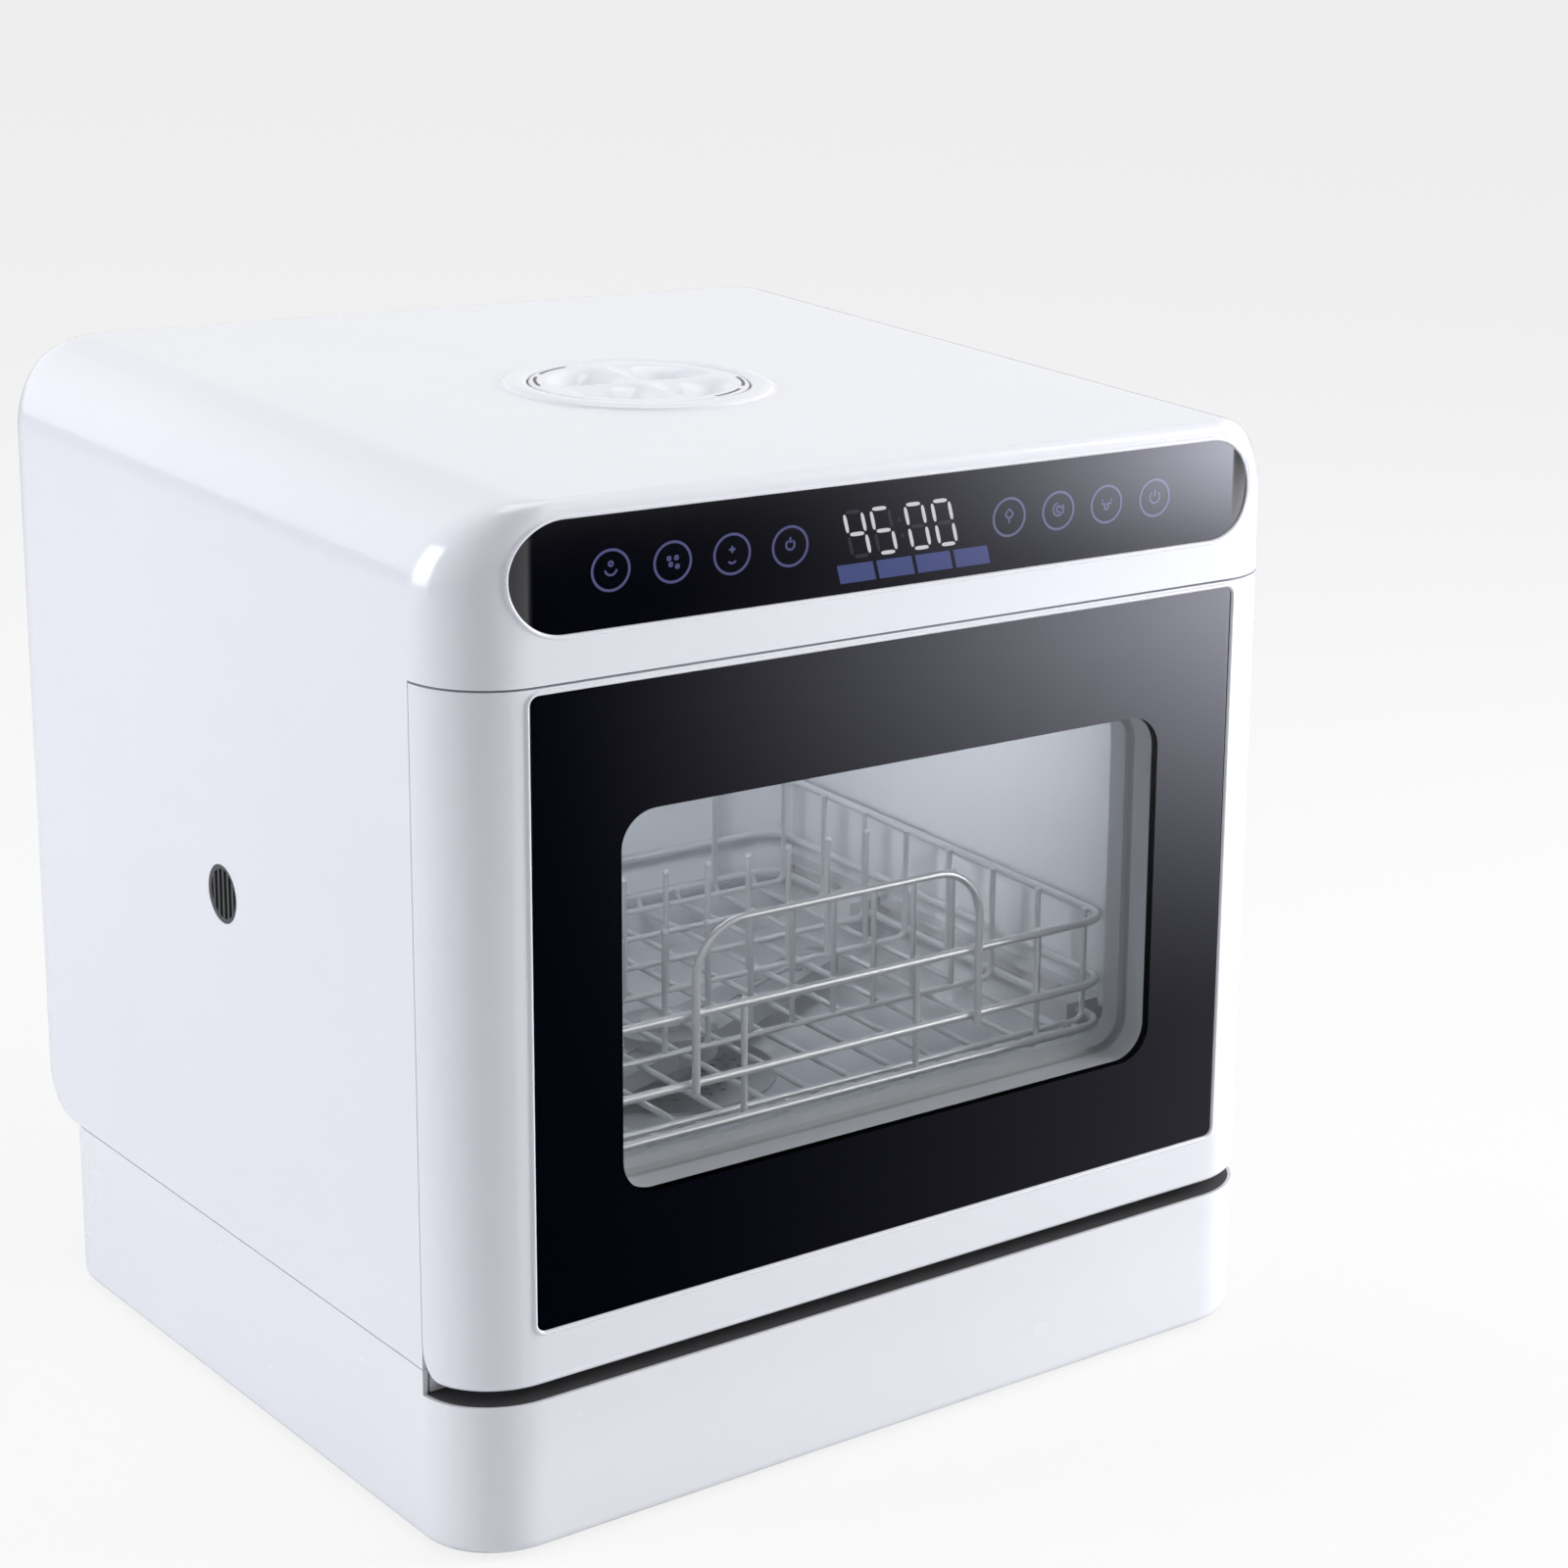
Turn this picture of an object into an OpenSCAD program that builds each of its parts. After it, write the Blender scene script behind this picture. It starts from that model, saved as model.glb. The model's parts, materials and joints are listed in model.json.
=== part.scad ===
// Countertop dishwasher with a drop-down glass door, a wire rack, two spray arms,
// a rear water tank and a screw-in filler cap on top.
// Millimetres, +Z up. The origin is on the floor, under the middle of the body.
// -Y is the front, where the door is.

/* [Body] */
// Width of the body
body_w = 420; // [405:1:440]
// Depth of the body, over the rear housing
body_d = 412; // [405:1:430]
// Height of the body above the table
body_h = 446; // [440:1:455]
// Thickness of the outer mouldings
wall = 2.5; // [2:0.1:3]
// Rounding of the two long top edges
long_edge_r = 40; // [32:1:44]
// Rounding of the two upright front corners
front_corner_r = 35; // [32:1:37]
// Rounding of the two upright rear corners
rear_corner_r = 30; // [24:1:34]
// Rounding of the front top edge
front_edge_r = 4; // [3:0.5:5]
// Rounding of the rear top edge
rear_edge_r = 14; // [10:1:18]
// Rounding under the rear housing
heel_r = 20; // [14:1:22]
// Hairline between neighbouring outer mouldings
seam = 0.6; // [0.4:0.1:0.9]

/* [Base] */
// Height of the base under the door
base_front_h = 69; // [67:0.5:72]
// Height of the base at the sides and the rear
base_side_h = 80; // [79:0.5:82]
// How far the rear housing hangs over the base
overhang = 29.5; // [26:0.5:34]
// Height of the lip that locates the shell on the base
lip_h = 6; // [4:1:8]
// Diameter of a rubber foot
foot_d = 26; // [20:1:30]
// How far the feet stand out under the base
foot_h = 2; // [1.5:0.5:3]

/* [Control panel] */
// Height of the white header above the door
header_h = 73.2; // [70:0.2:76]
// Width of the black control glass
panel_w = 369; // [360:1:371]
// Height of the black control glass
panel_h = 46; // [42:1:47]
// Distance from the top of the body to the control glass
panel_drop = 8; // [7:0.5:9]
// Thickness of the control glass
panel_t = 3; // [2:0.5:4]
// Width of the raised white rims round both glasses
rim_w = 2.8; // [2:0.2:3]
// Width of the display window
display_w = 80; // [70:1:86]

/* [Door] */
// Gap between the door and the base
door_gap = 6.4; // [6.2:0.1:8]
// Depth of the door's side walls
door_depth = 34; // [33:0.5:36]
// White margin at each side of the door glass
glass_side = 33; // [27:0.5:34]
// White margin under the door glass
glass_below = 24.6; // [22:0.2:28]
// Thickness of the door glass
glass_t = 4; // [3:0.5:5]
// Corner radius of the door glass
glass_r = 4; // [3:0.5:6]
// Width of the window
window_w = 274; // [250:1:280]
// Height of the window
window_h = 166; // [150:1:170]
// Corner radius of the window
window_r = 16; // [10:1:24]
// Height of the window above the glass's lower edge
window_lift = 48.7; // [42:0.1:52]
// Depth of the window's reveal, from the glass to the inner pane
reveal = 12; // [9:0.5:14]
// Rounding of the door's lower front edge
door_edge_r = 4; // [3.5:0.5:5]
// Hairline between the door and the header
door_seam = 1; // [0.9:0.1:1.4]
// Distance of the hinge line from the door's rear face and from its lower edge
hinge_in = 16.4; // [16:0.2:17]
// Diameter of the hinge pins
pin_d = 6; // [5:0.5:7]

/* [Wash chamber] */
// Space between the chamber and the side of the body
chamber_side = 38; // [38:1:42]
// Space between the chamber and the rear of the body
chamber_rear = 66; // [64:1:72]
// Height of the chamber floor
chamber_floor = 110; // [108:1:114]
// Space between the chamber's ceiling and the top of the door
chamber_drop = 24; // [23:1:28]
// Corner radius of the chamber
chamber_r = 18; // [12:1:24]

/* [Rack] */
// Space between the rack and the chamber's sides
rack_side = 20; // [14:1:22]
// Space between the rack and the door's liner
rack_front = 20; // [18:1:24]
// Space between the rack and the chamber's back
rack_rear = 14; // [12:1:18]
// Height of the rack's floor above the chamber floor
rack_lift = 37; // [36:1:40]
// Height of the rack's upper rail above its floor
rail_h = 53; // [48:1:58]
// Height of the hoop at the rack's front above the upper rail
hoop_h = 41; // [34:1:46]
// Diameter of the rack's frame wire
wire_d = 4; // [3.6:0.2:4.4]
// Height of the plate tines above the rack's floor
tine_h = 58; // [45:1:62]

/* [Spray arms] */
// Length of a spray arm from tip to tip
arm_span = 284; // [260:2:288]
// Diameter of the arm's bearing stub
stub_d = 16; // [14:1:18]

/* [Filler] */
// Place of the filler across the top
filler_x = -15; // [-20:1:0]
// Place of the filler along the top
filler_y = -19; // [-26:1:-10]
// Diameter of the collar round the cap
collar_d = 118; // [114:1:122]
// Diameter of the cap
cap_d = 96; // [92:1:98]
// Height of the collar above the body
collar_h = 2; // [1:0.5:3]
// Diameter of the filler's throat
throat_d = 70; // [60:1:74]

/* [Services] */
// Radius of the drain spigot
drain_r = 8; // [6:0.5:9]
// Radius of the water inlet's neck
inlet_r = 13; // [11:0.5:14]
// Length of both connectors behind the base
spigot_len = 22; // [18:1:24]
// Diameter of the round air grille in the left side
grille_d = 26; // [22:1:30]
// Height of the air grille
grille_z = 239; // [230:1:245]

/* [Hidden] */
$fn = 64;

// Small fits
clear = 0.3;      // between pieces on different moving bodies
run = 0.05;       // radial running fit of a pin in its bore
eps = 0.01;       // keeps cuts from ending on a face

// Outer planes
half_w = body_w / 2;
front = -body_d / 2;
rear = body_d / 2;
base_rear = rear - overhang;
shell_z0 = base_side_h + seam;
header_z0 = body_h - header_h;
door_z0 = base_front_h + door_gap;
door_z1 = header_z0 - door_seam;
seam_y = front + door_depth;
door_back = seam_y - seam;

// Door glass and window
glass_w = body_w - 2 * glass_side;
glass_z0 = door_z0 + glass_below;
glass_z1 = door_z1 - rim_w;
glass_h = glass_z1 - glass_z0;
glass_zc = (glass_z0 + glass_z1) / 2;
glass_sink = 0.4; // both glasses lie this much behind the outer form
glass_back = front + glass_sink + glass_t;
border_t = 0.4;
window_zc = glass_z0 + window_lift + window_h / 2;
ledge = 6;        // width of the ledge that carries a glass
rim_back = glass_back + 5;

// Door liner
liner_t = 3;
liner_back = door_back - 2.9;
liner_front = liner_back - liner_t;
pane_t = 3;
pane_front = glass_back + border_t + reveal;
hinge_y = door_back - hinge_in;
hinge_z = door_z0 + hinge_in;
ear_r = 6.5;
liner_z0 = hinge_z + ear_r + 2;
liner_z1 = door_z1 - 4;
liner_side = 13.5;
liner_w = body_w - 2 * liner_side;

// Wash chamber
chamber_hw = half_w - chamber_side;
chamber_z1 = door_z1 - chamber_drop;
chamber_back = rear - chamber_rear;
frame_t = 3;
frame_front = seam_y + 0.4;
frame_back = frame_front + frame_t;
chamber_front = frame_back;
chamber_t = 2.5;
chamber_mid = (chamber_front + chamber_back) / 2;
chamber_zc = (chamber_floor + chamber_z1) / 2;
seal_w = 7;
seal_gap = 4;

// Rack
rack_hw = chamber_hw - rack_side;
rack_y0 = liner_back + rack_front;
rack_y1 = chamber_back - rack_rear;
rack_z0 = chamber_floor + rack_lift;
rail_z = rack_z0 + rail_h;
mid_rail_z = rack_z0 + rail_h * 0.4;
thin_d = wire_d * 0.75;
weld = 0.02;      // gap at a weld, which lets each wire stay a solid of its own
weld_step = (wire_d + thin_d) / 2 + weld;
bend_r = 5;
rack_corner = 14;
floor_step = (rack_hw - rack_corner - 2) / 6;
cross_n = 7;
cross_step = (rack_y1 - rack_y0 - 2 * rack_corner) / cross_n;
floor_wire_z = rack_z0 - bend_r;
cross_wire_z = floor_wire_z + thin_d + weld;
hoop_d = wire_d * 0.9;
hoop_half = 74;
hoop_bend = 24;
runner_z = rack_z0 - wire_d / 2 - 5.5;

// Spray arms
arm_z = chamber_floor + 12;
arm_t = 9;
upper_arm_z = chamber_z1 - 12 - arm_t;

// Control panel
panel_z1 = body_h - panel_drop;
panel_z0 = panel_z1 - panel_h;
panel_zc = (panel_z0 + panel_z1) / 2;
panel_back = front + glass_sink + panel_t;
panel_rim_back = panel_back + 5;
panel_r = panel_h / 2 - eps;

// Filler
cap_r = cap_d / 2;
collar_in = cap_r + clear;
collar_r = collar_d / 2;
throat_r = throat_d / 2;
cap_well = 13;    // depth of the cap's finger hollows
collar_floor = body_h - cap_well - 4;
duct_top = collar_floor - 3;
duct_z0 = duct_top - 26;
throat_z0 = duct_z0 + 8;

// Water tank
tank_y0 = chamber_back + chamber_t + 6;
tank_y1 = rear - wall - 8;
tank_hw = chamber_hw - 4;
tank_z0 = base_side_h + 22;
tank_z1 = duct_z0 - 12;
tank_t = 2;

// Services behind the base
service_z = 36;
inlet_x = -120;
drain_x = -60;
gland_x = 130;

// Pumps
sump_r = 52;
sump_z0 = chamber_floor - 46;
pump_r = 38;
pump_x = -108;
pump_z = 50;
drain_pump_x = 92;
drain_pump_z = 56;
suction_z = sump_z0 + 12;

// ---- outlines and small helpers ----

// Rectangle with its own radius at each corner: lower left, lower right, upper right, upper left
module corner_rect(x0, x1, y0, y1, r) {
    polygon([[x0 + r[0], y0], [x1 - r[1], y0], [x1, y0 + r[1]], [x1, y1 - r[2]],
        [x1 - r[2], y1], [x0 + r[3], y1], [x0, y1 - r[3]], [x0, y0 + r[0]]]);
    spots = [[x0 + r[0], y0 + r[0]], [x1 - r[1], y0 + r[1]],
        [x1 - r[2], y1 - r[2]], [x0 + r[3], y1 - r[3]]];
    for (i = [0:3])
        if (r[i] > 0)
            translate(spots[i])
                circle(r = r[i]);
}

// Centred rectangle with one corner radius
module round_rect(w, h, r) {
    corner_rect(-w / 2, w / 2, -h / 2, h / 2, [r, r, r, r]);
}

// Box between two opposite corners
module box(low, high) {
    translate(low)
        cube(high - low);
}

// Extrudes a front view outline (x, z) from plane y0 back to plane y1
module front_slab(y0, y1) {
    translate([0, y1, 0])
        rotate([90, 0, 0])
            linear_extrude(y1 - y0)
                children();
}

// Extrudes a side view outline (y, z) from plane x0 to plane x1
module side_slab(x0, x1) {
    translate([x0, 0, 0])
        rotate([90, 0, 90])
            linear_extrude(x1 - x0)
                children();
}

// Repeats a piece at the left and, mirrored, at the right
module both_sides() {
    children();
    mirror([1, 0, 0])
        children();
}

// Straight round rod from p to q
module rod(p, q, d) {
    v = q - p;
    len = norm(v);
    translate(p)
        rotate([0, acos(v[2] / len), atan2(v[1], v[0])])
            cylinder(h = len, d = d);
}

// Quarter bend of a round pipe at corner p, from direction u to direction v
module pipe_bend(p, u, v, r, d) {
    c = p + (v - u) * r;
    n = cross(u, v);
    multmatrix([[-v[0], u[0], n[0], c[0]], [-v[1], u[1], n[1], c[1]], [-v[2], u[2], n[2], c[2]], [0, 0, 0, 1]])
        rotate_extrude(angle = 90)
            translate([r, 0])
                circle(d = d);
}

// Round pipe along square corners, each bent to radius r
module bent_pipe(points, r, d) {
    last = len(points) - 1;
    steps = [for (i = [0:last - 1]) (points[i + 1] - points[i]) / norm(points[i + 1] - points[i])];
    for (i = [0:last - 1])
        rod(points[i] + steps[i] * (i == 0 ? 0 : r), points[i + 1] - steps[i] * (i == last - 1 ? 0 : r), d);
    for (i = [1:last - 1])
        pipe_bend(points[i], steps[i - 1], steps[i], r, d);
}

// ---- outer form ----

// Plan of the body, drawn in by some inset
module plan(inset, back) {
    fr = front_corner_r - inset;
    rr = rear_corner_r - inset;
    corner_rect(-half_w + inset, half_w - inset, front + inset, back - inset, [fr, fr, rr, rr]);
}

// The rounded block of the body above the base: plan, front view and side view together
module body_block(inset) {
    top_r = long_edge_r - inset;
    edge_r = max(front_edge_r - inset, 0.5);
    back_r = rear_edge_r - inset;
    under_r = heel_r - inset;
    intersection() {
        translate([0, 0, shell_z0 + inset])
            linear_extrude(body_h - shell_z0 - 2 * inset)
                plan(inset, rear);
        front_slab(front - 1, rear + 1)
            corner_rect(-half_w + inset, half_w - inset, shell_z0 + inset - 1, body_h - inset,
                [0, 0, top_r, top_r]);
        side_slab(-half_w - 1, half_w + 1)
            corner_rect(front + inset, rear - inset, shell_z0 + inset, body_h - inset,
                [0, under_r, back_r, edge_r]);
    }
}

// Outline of the control glass, grown by some outset
module panel_outline(outset) {
    translate([0, panel_zc])
        round_rect(panel_w + 2 * outset, panel_h + 2 * outset, panel_r + outset);
}

// Outline of the door glass, grown by some outset
module glass_outline(outset) {
    translate([0, glass_zc])
        round_rect(glass_w + 2 * outset, glass_h + 2 * outset, max(glass_r + outset, 1));
}

// Outline of the window, grown by some outset
module window_outline(outset) {
    translate([0, window_zc])
        round_rect(window_w + 2 * outset, window_h + 2 * outset, window_r + outset);
}

// Outline of the chamber's mouth, grown by some outset
module mouth_outline(outset) {
    translate([0, chamber_zc])
        round_rect(2 * (chamber_hw + outset), chamber_z1 - chamber_floor + 2 * outset,
            chamber_r + outset);
}

// ---- rear cover opening ----
cover_hw = half_w - rear_corner_r - 4;
cover_z1 = body_h - rear_edge_r - 16;
cover_boss = 5;   // depth of the screw bosses behind the cover's face
cover_seat = rear - cover_boss - 0.2;

// Puts a piece, its axis to the rear, at each screw of the rear cover
module cover_screw_places() {
    for (x = [-1, 1], z = [shell_z0 + heel_r + 16, (shell_z0 + cover_z1) / 2, cover_z1 - 9])
        translate([x * (cover_hw - 7), rear, z])
            rotate([-90, 0, 0])
                children();
}

module outer_shell() {
    color("white")
    difference() {
        union() {
            difference() {
                body_block(0);
                body_block(wall);
                // open underside, ahead of the rear housing
                intersection() {
                    translate([0, 0, shell_z0 - 1])
                        linear_extrude(wall + 2)
                            plan(wall, rear);
                    box([-half_w, front - 1, shell_z0 - 1], [half_w, base_rear, shell_z0 + wall + 1]);
                }
            }
            // underside of the header, above the door
            intersection() {
                body_block(0);
                box([-half_w, front, header_z0], [half_w, frame_back + 8, header_z0 + wall]);
            }
            // rim and ledge of the control glass
            intersection() {
                front_slab(front - 1, panel_rim_back)
                    panel_outline(rim_w);
                body_block(0);
            }
            // inner frame behind the rear cover
            difference() {
                box([-cover_hw - 14, cover_seat - wall, shell_z0 + heel_r + 6],
                    [cover_hw + 14, rear - wall + eps, cover_z1 + 10]);
                box([-cover_hw - clear, cover_seat, shell_z0],
                    [cover_hw + clear, rear, cover_z1 + clear]);
                box([-cover_hw + 14, cover_seat - wall - 1, shell_z0],
                    [cover_hw - 14, rear, cover_z1 - 18]);
                cover_screw_places()
                    cylinder(h = 30, d = 2.8, center = true);
            }
        }
        // room for the door
        box([-body_w, front - 1, 0], [body_w, seam_y, header_z0]);
        // pocket of the control glass and the window behind it
        front_slab(front - 1, panel_back)
            panel_outline(0.15);
        front_slab(front - 1, panel_rim_back + 1)
            panel_outline(-ledge / 2);
        // filler
        translate([filler_x, filler_y, body_h - wall - 1])
            cylinder(h = wall + 2, r = collar_in + 3);
        // air grille
        translate([-half_w - 1, -6, grille_z])
            rotate([0, 90, 0])
                cylinder(h = wall + 2, d = grille_d + 0.2);
        // opening and screw holes of the rear cover
        box([-cover_hw, rear - wall, shell_z0 - 1], [cover_hw, rear + 1, cover_z1]);
        box([-cover_hw, base_rear - 1, shell_z0 - 1], [cover_hw, rear + 1, shell_z0 + heel_r + 6]);
    }
}

// Slots of the rear cover's air outlet
module cover_louvres() {
    for (i = [-7:7])
        translate([i * 9, 0])
            corner_rect(-2, 2, -17, 17, [2, 2, 2, 2]);
}

module rear_cover() {
    color("white")
    difference() {
        union() {
            intersection() {
                difference() {
                    body_block(0);
                    body_block(wall);
                }
                box([-cover_hw + clear, base_rear + 0.5, shell_z0],
                    [cover_hw - clear, rear + 1, cover_z1 - clear]);
            }
            cover_screw_places()
                cylinder_from(-cover_boss, -wall + eps, 6);
        }
        front_slab(rear - wall - 1, rear + 1)
            translate([0, cover_z1 - 40])
                cover_louvres();
        cover_screw_places() {
            cylinder_from(-2.3, 1, 3.7);
            cylinder_from(-cover_boss - 1, 1, 1.8);
        }
    }
}

module base_plan(inset) {
    plan(inset, base_rear);
}

foot_spots = [for (x = [-1, 1], y = [front + 60, base_rear - 45]) [x * (half_w - 50), y]];
base_floor = foot_h;
floor_t = 3;
service_spots = [[inlet_x, inlet_r], [drain_x, drain_r], [gland_x, 7]];

module base_tray() {
    color("whitesmoke")
    difference() {
        union() {
            difference() {
                translate([0, 0, base_floor])
                    linear_extrude(base_side_h - base_floor)
                        base_plan(0);
                translate([0, 0, base_floor + floor_t])
                    linear_extrude(base_side_h)
                        base_plan(wall);
                // step down to the door
                box([-body_w, front - 1, base_front_h], [body_w, seam_y, base_side_h + 1]);
            }
            // ledge under the door
            intersection() {
                translate([0, 0, base_front_h - wall])
                    linear_extrude(wall)
                        base_plan(0);
                box([-half_w, front - 1, 0], [half_w, seam_y + 6, base_front_h]);
            }
            // locating lip inside the shell
            difference() {
                union() {
                    translate([0, 0, base_side_h - 8])
                        linear_extrude(8 - eps)
                            base_plan(wall - 0.2);
                    translate([0, 0, base_side_h - 8])
                        linear_extrude(8 + lip_h)
                            base_plan(wall + clear);
                }
                translate([0, 0, base_side_h - 9])
                    linear_extrude(10 + lip_h)
                        base_plan(2 * wall + clear);
                box([-body_w, front - 1, 0], [body_w, frame_back + 1, body_h]);
            }
            // two long ribs that stiffen the floor
            for (x = [-1, 1])
                translate([x * 150 - 1, front + 60, base_floor + floor_t - eps])
                    cube([2, base_rear - front - 120, 10]);
        }
        // recesses of the feet
        for (p = foot_spots)
            translate([p[0], p[1], -1])
                cylinder(h = 1 + base_floor + floor_t / 2, d = foot_d - 4);
        // connectors at the rear
        for (s = service_spots)
            translate([s[0], base_rear + 1, service_z])
                rotate([90, 0, 0])
                    cylinder(h = wall + 2, r = s[1] + 0.2);
        // air slots in the floor
        for (i = [-6:6])
            translate([i * 10, 40, 0])
                linear_extrude(base_floor + floor_t + 1)
                    corner_rect(-2, 2, -20, 20, [2, 2, 2, 2]);
    }
}

module front_frame() {
    color("white")
    difference() {
        front_slab(frame_front, frame_back)
            corner_rect(-half_w + wall + 0.9, half_w - wall - 0.9, base_front_h + 0.2, header_z0,
                [0, 0, 0, 0]);
        front_slab(frame_front - 1, frame_back + 1)
            mouth_outline(0);
        // room for the hinge brackets
        for (x = hinge_spots)
            box([x - 9, frame_front - 1, hinge_z - ear_r - 1], [x + 9, frame_back + 1, hinge_z + ear_r + 1]);
        // slot of the latch
        box([-11, frame_front - 1, latch_z - 3], [11, frame_back + 1, latch_z + 5]);
    }
}

chamber_base_z = chamber_floor - chamber_t;

module wash_chamber() {
    color("gainsboro")
    difference() {
        union() {
            front_slab(chamber_front, chamber_back + chamber_t)
                mouth_outline(chamber_t);
            front_slab(chamber_front, chamber_front + chamber_t)
                mouth_outline(5);
        }
        front_slab(chamber_front - 1, chamber_back)
            mouth_outline(0);
        // well of the sump
        translate([0, chamber_mid, chamber_base_z - 1])
            cylinder(h = chamber_t + 2, r = sump_r - 6);
        // feed of the upper arm
        translate([0, chamber_mid, chamber_z1 - 1])
            cylinder(h = chamber_t + 2, d = stub_d + 0.4);
        // air from the blower
        translate([-chamber_hw - chamber_t - 1, blower_y, grille_z])
            rotate([0, 90, 0])
                cylinder(h = chamber_t + 2, d = grille_d - 4);
    }
}

module door_seal() {
    color("dimgray")
    difference() {
        union() {
            front_slab(liner_back + clear, frame_front)
                mouth_outline(seal_gap + seal_w * 0.6);
            front_slab(frame_front - 2, frame_front)
                mouth_outline(seal_gap + seal_w);
        }
        front_slab(liner_back - 1, frame_front + 1)
            mouth_outline(seal_gap);
    }
}

module control_glass() {
    color("black")
    intersection() {
        front_slab(front - 1, panel_back)
            panel_outline(0);
        body_block(glass_sink);
    }
}

// Plastic carrier clipped behind the header's ledge
module panel_carrier() {
    color("dimgray")
    difference() {
        front_slab(panel_rim_back, panel_rim_back + 2)
            translate([0, panel_zc])
                round_rect(panel_w - 30, panel_h - 2, 6);
        front_slab(panel_rim_back - 1, panel_rim_back + 3)
            translate([0, panel_zc])
                round_rect(display_w, panel_h - 14, 2);
        for (s = [-1, 1], i = [0:3])
            translate([s * icon_x(i), panel_rim_back + 3, panel_zc])
                rotate([90, 0, 0])
                    cylinder(h = 4, d = 13);
    }
}

// Distance of touch field i from the middle of the panel
function icon_x(i) = 54.5 + i * 26.7;

module display_module() {
    color("darkslategray")
    front_slab(panel_back, panel_rim_back + 2)
        translate([0, panel_zc])
            round_rect(display_w - 1, panel_h - 15, 1.5);
}

// Board with one spring pad behind each touch field
module control_board() {
    color("darkgreen") {
        front_slab(panel_rim_back + 2, panel_rim_back + 3.6)
            translate([0, panel_zc])
                round_rect(panel_w - 36, panel_h - 8, 2);
        for (s = [-1, 1], i = [0:3])
            translate([s * icon_x(i), panel_rim_back + 2 + eps, panel_zc])
                rotate([90, 0, 0])
                    cylinder(h = panel_rim_back + 2 - panel_back - clear, d = 11);
    }
}

// Round grille with upright slats
module air_grille() {
    color("dimgray")
    translate([-half_w + 0.4, -6, grille_z])
        rotate([0, 90, 0])
            union() {
                difference() {
                    cylinder(h = 6, d = grille_d);
                    translate([0, 0, -1])
                        cylinder(h = 8, d = grille_d - 4);
                }
                intersection() {
                    cylinder(h = 4, d = grille_d - 1);
                    for (i = [-2:2])
                        translate([-grille_d / 2, i * 4.2 - 0.8, 0])
                            cube([grille_d, 1.6, 4]);
                }
                translate([0, 0, 2.3])
                    difference() {
                        cylinder(h = 1.6, d = grille_d + 5);
                        translate([0, 0, -1])
                            cylinder(h = 4, d = grille_d - 4);
                    }
            }
}

blower_y = -6;
blower_x0 = -half_w + 0.4 + 6;
blower_x1 = -chamber_hw - chamber_t;

// Flat radial blower between the grille and the chamber, with its mouth into the chamber
module drying_blower() {
    color("slategray")
    difference() {
        union() {
            translate([blower_x0, blower_y, grille_z])
                rotate([0, 90, 0])
                    cylinder(h = blower_x1 - blower_x0, d = 74);
            box([blower_x0, blower_y, grille_z], [blower_x1, blower_y + 52, grille_z + 37]);
        }
        translate([blower_x0 - 1, blower_y, grille_z])
            rotate([0, 90, 0])
                cylinder(h = 12, d = grille_d - 4);
        translate([blower_x1 - 8, blower_y, grille_z])
            rotate([0, 90, 0])
                cylinder(h = 9, d = grille_d - 4);
    }
}

module filler_collar() {
    color("white")
    translate([filler_x, filler_y, 0])
        rotate_extrude() {
            // flange on the body's top, rounded outside
            polygon([[collar_in, body_h], [collar_r, body_h], [collar_r - 1.5, body_h + collar_h - 0.5],
                [collar_r - 3, body_h + collar_h], [collar_in + 1, body_h + collar_h],
                [collar_in, body_h + collar_h - 1]]);
            // well and throat
            polygon([[collar_in, body_h + eps], [collar_in, collar_floor + 2.5], [throat_r, collar_floor + 2.5],
                [throat_r, throat_z0], [throat_r + 2.5, throat_z0], [throat_r + 2.5, collar_floor],
                [collar_in + 2.5, collar_floor], [collar_in + 2.5, body_h + eps]]);
        }
}

// Covered channel from the filler's throat to the tank at the rear
module filler_duct() {
    duct_w = throat_d + 16;
    color("lightgray")
    difference() {
        translate([filler_x, 0, duct_z0]) {
            linear_extrude(duct_top - duct_z0)
                corner_rect(-duct_w / 2, duct_w / 2, filler_y - duct_w / 2, tank_y1 - 4,
                    [20, 20, 6, 6]);
            translate([0, (tank_y0 + tank_y1) / 2, -12 - tank_t])
                cylinder(h = 14 + tank_t, d = 30);
        }
        translate([filler_x, 0, duct_z0 + 2])
            linear_extrude(duct_top - duct_z0 - 4)
                corner_rect(-duct_w / 2 + 2, duct_w / 2 - 2, filler_y - duct_w / 2 + 2, tank_y1 - 6,
                    [18, 18, 4, 4]);
        translate([filler_x, filler_y, duct_top - 3])
            cylinder(h = 5, r = throat_r + 2.7);
        translate([filler_x, (tank_y0 + tank_y1) / 2, duct_z0 - 20])
            cylinder(h = 30, d = 26);
    }
}

module water_tank() {
    color("aliceblue")
    difference() {
        front_slab(tank_y0, tank_y1)
            corner_rect(-tank_hw, tank_hw, tank_z0, tank_z1, [12, 12, 12, 12]);
        front_slab(tank_y0 + tank_t, tank_y1 - tank_t)
            corner_rect(-tank_hw + tank_t, tank_hw - tank_t, tank_z0 + tank_t, tank_z1 - tank_t,
                [10, 10, 10, 10]);
        translate([filler_x, (tank_y0 + tank_y1) / 2, tank_z1 - tank_t - 1])
            cylinder(h = tank_t + 2, d = 30.4);
        translate([tank_hw - 30, (tank_y0 + tank_y1) / 2, tank_z0 - 1])
            cylinder(h = tank_t + 2, d = 10);
    }
}

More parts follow.
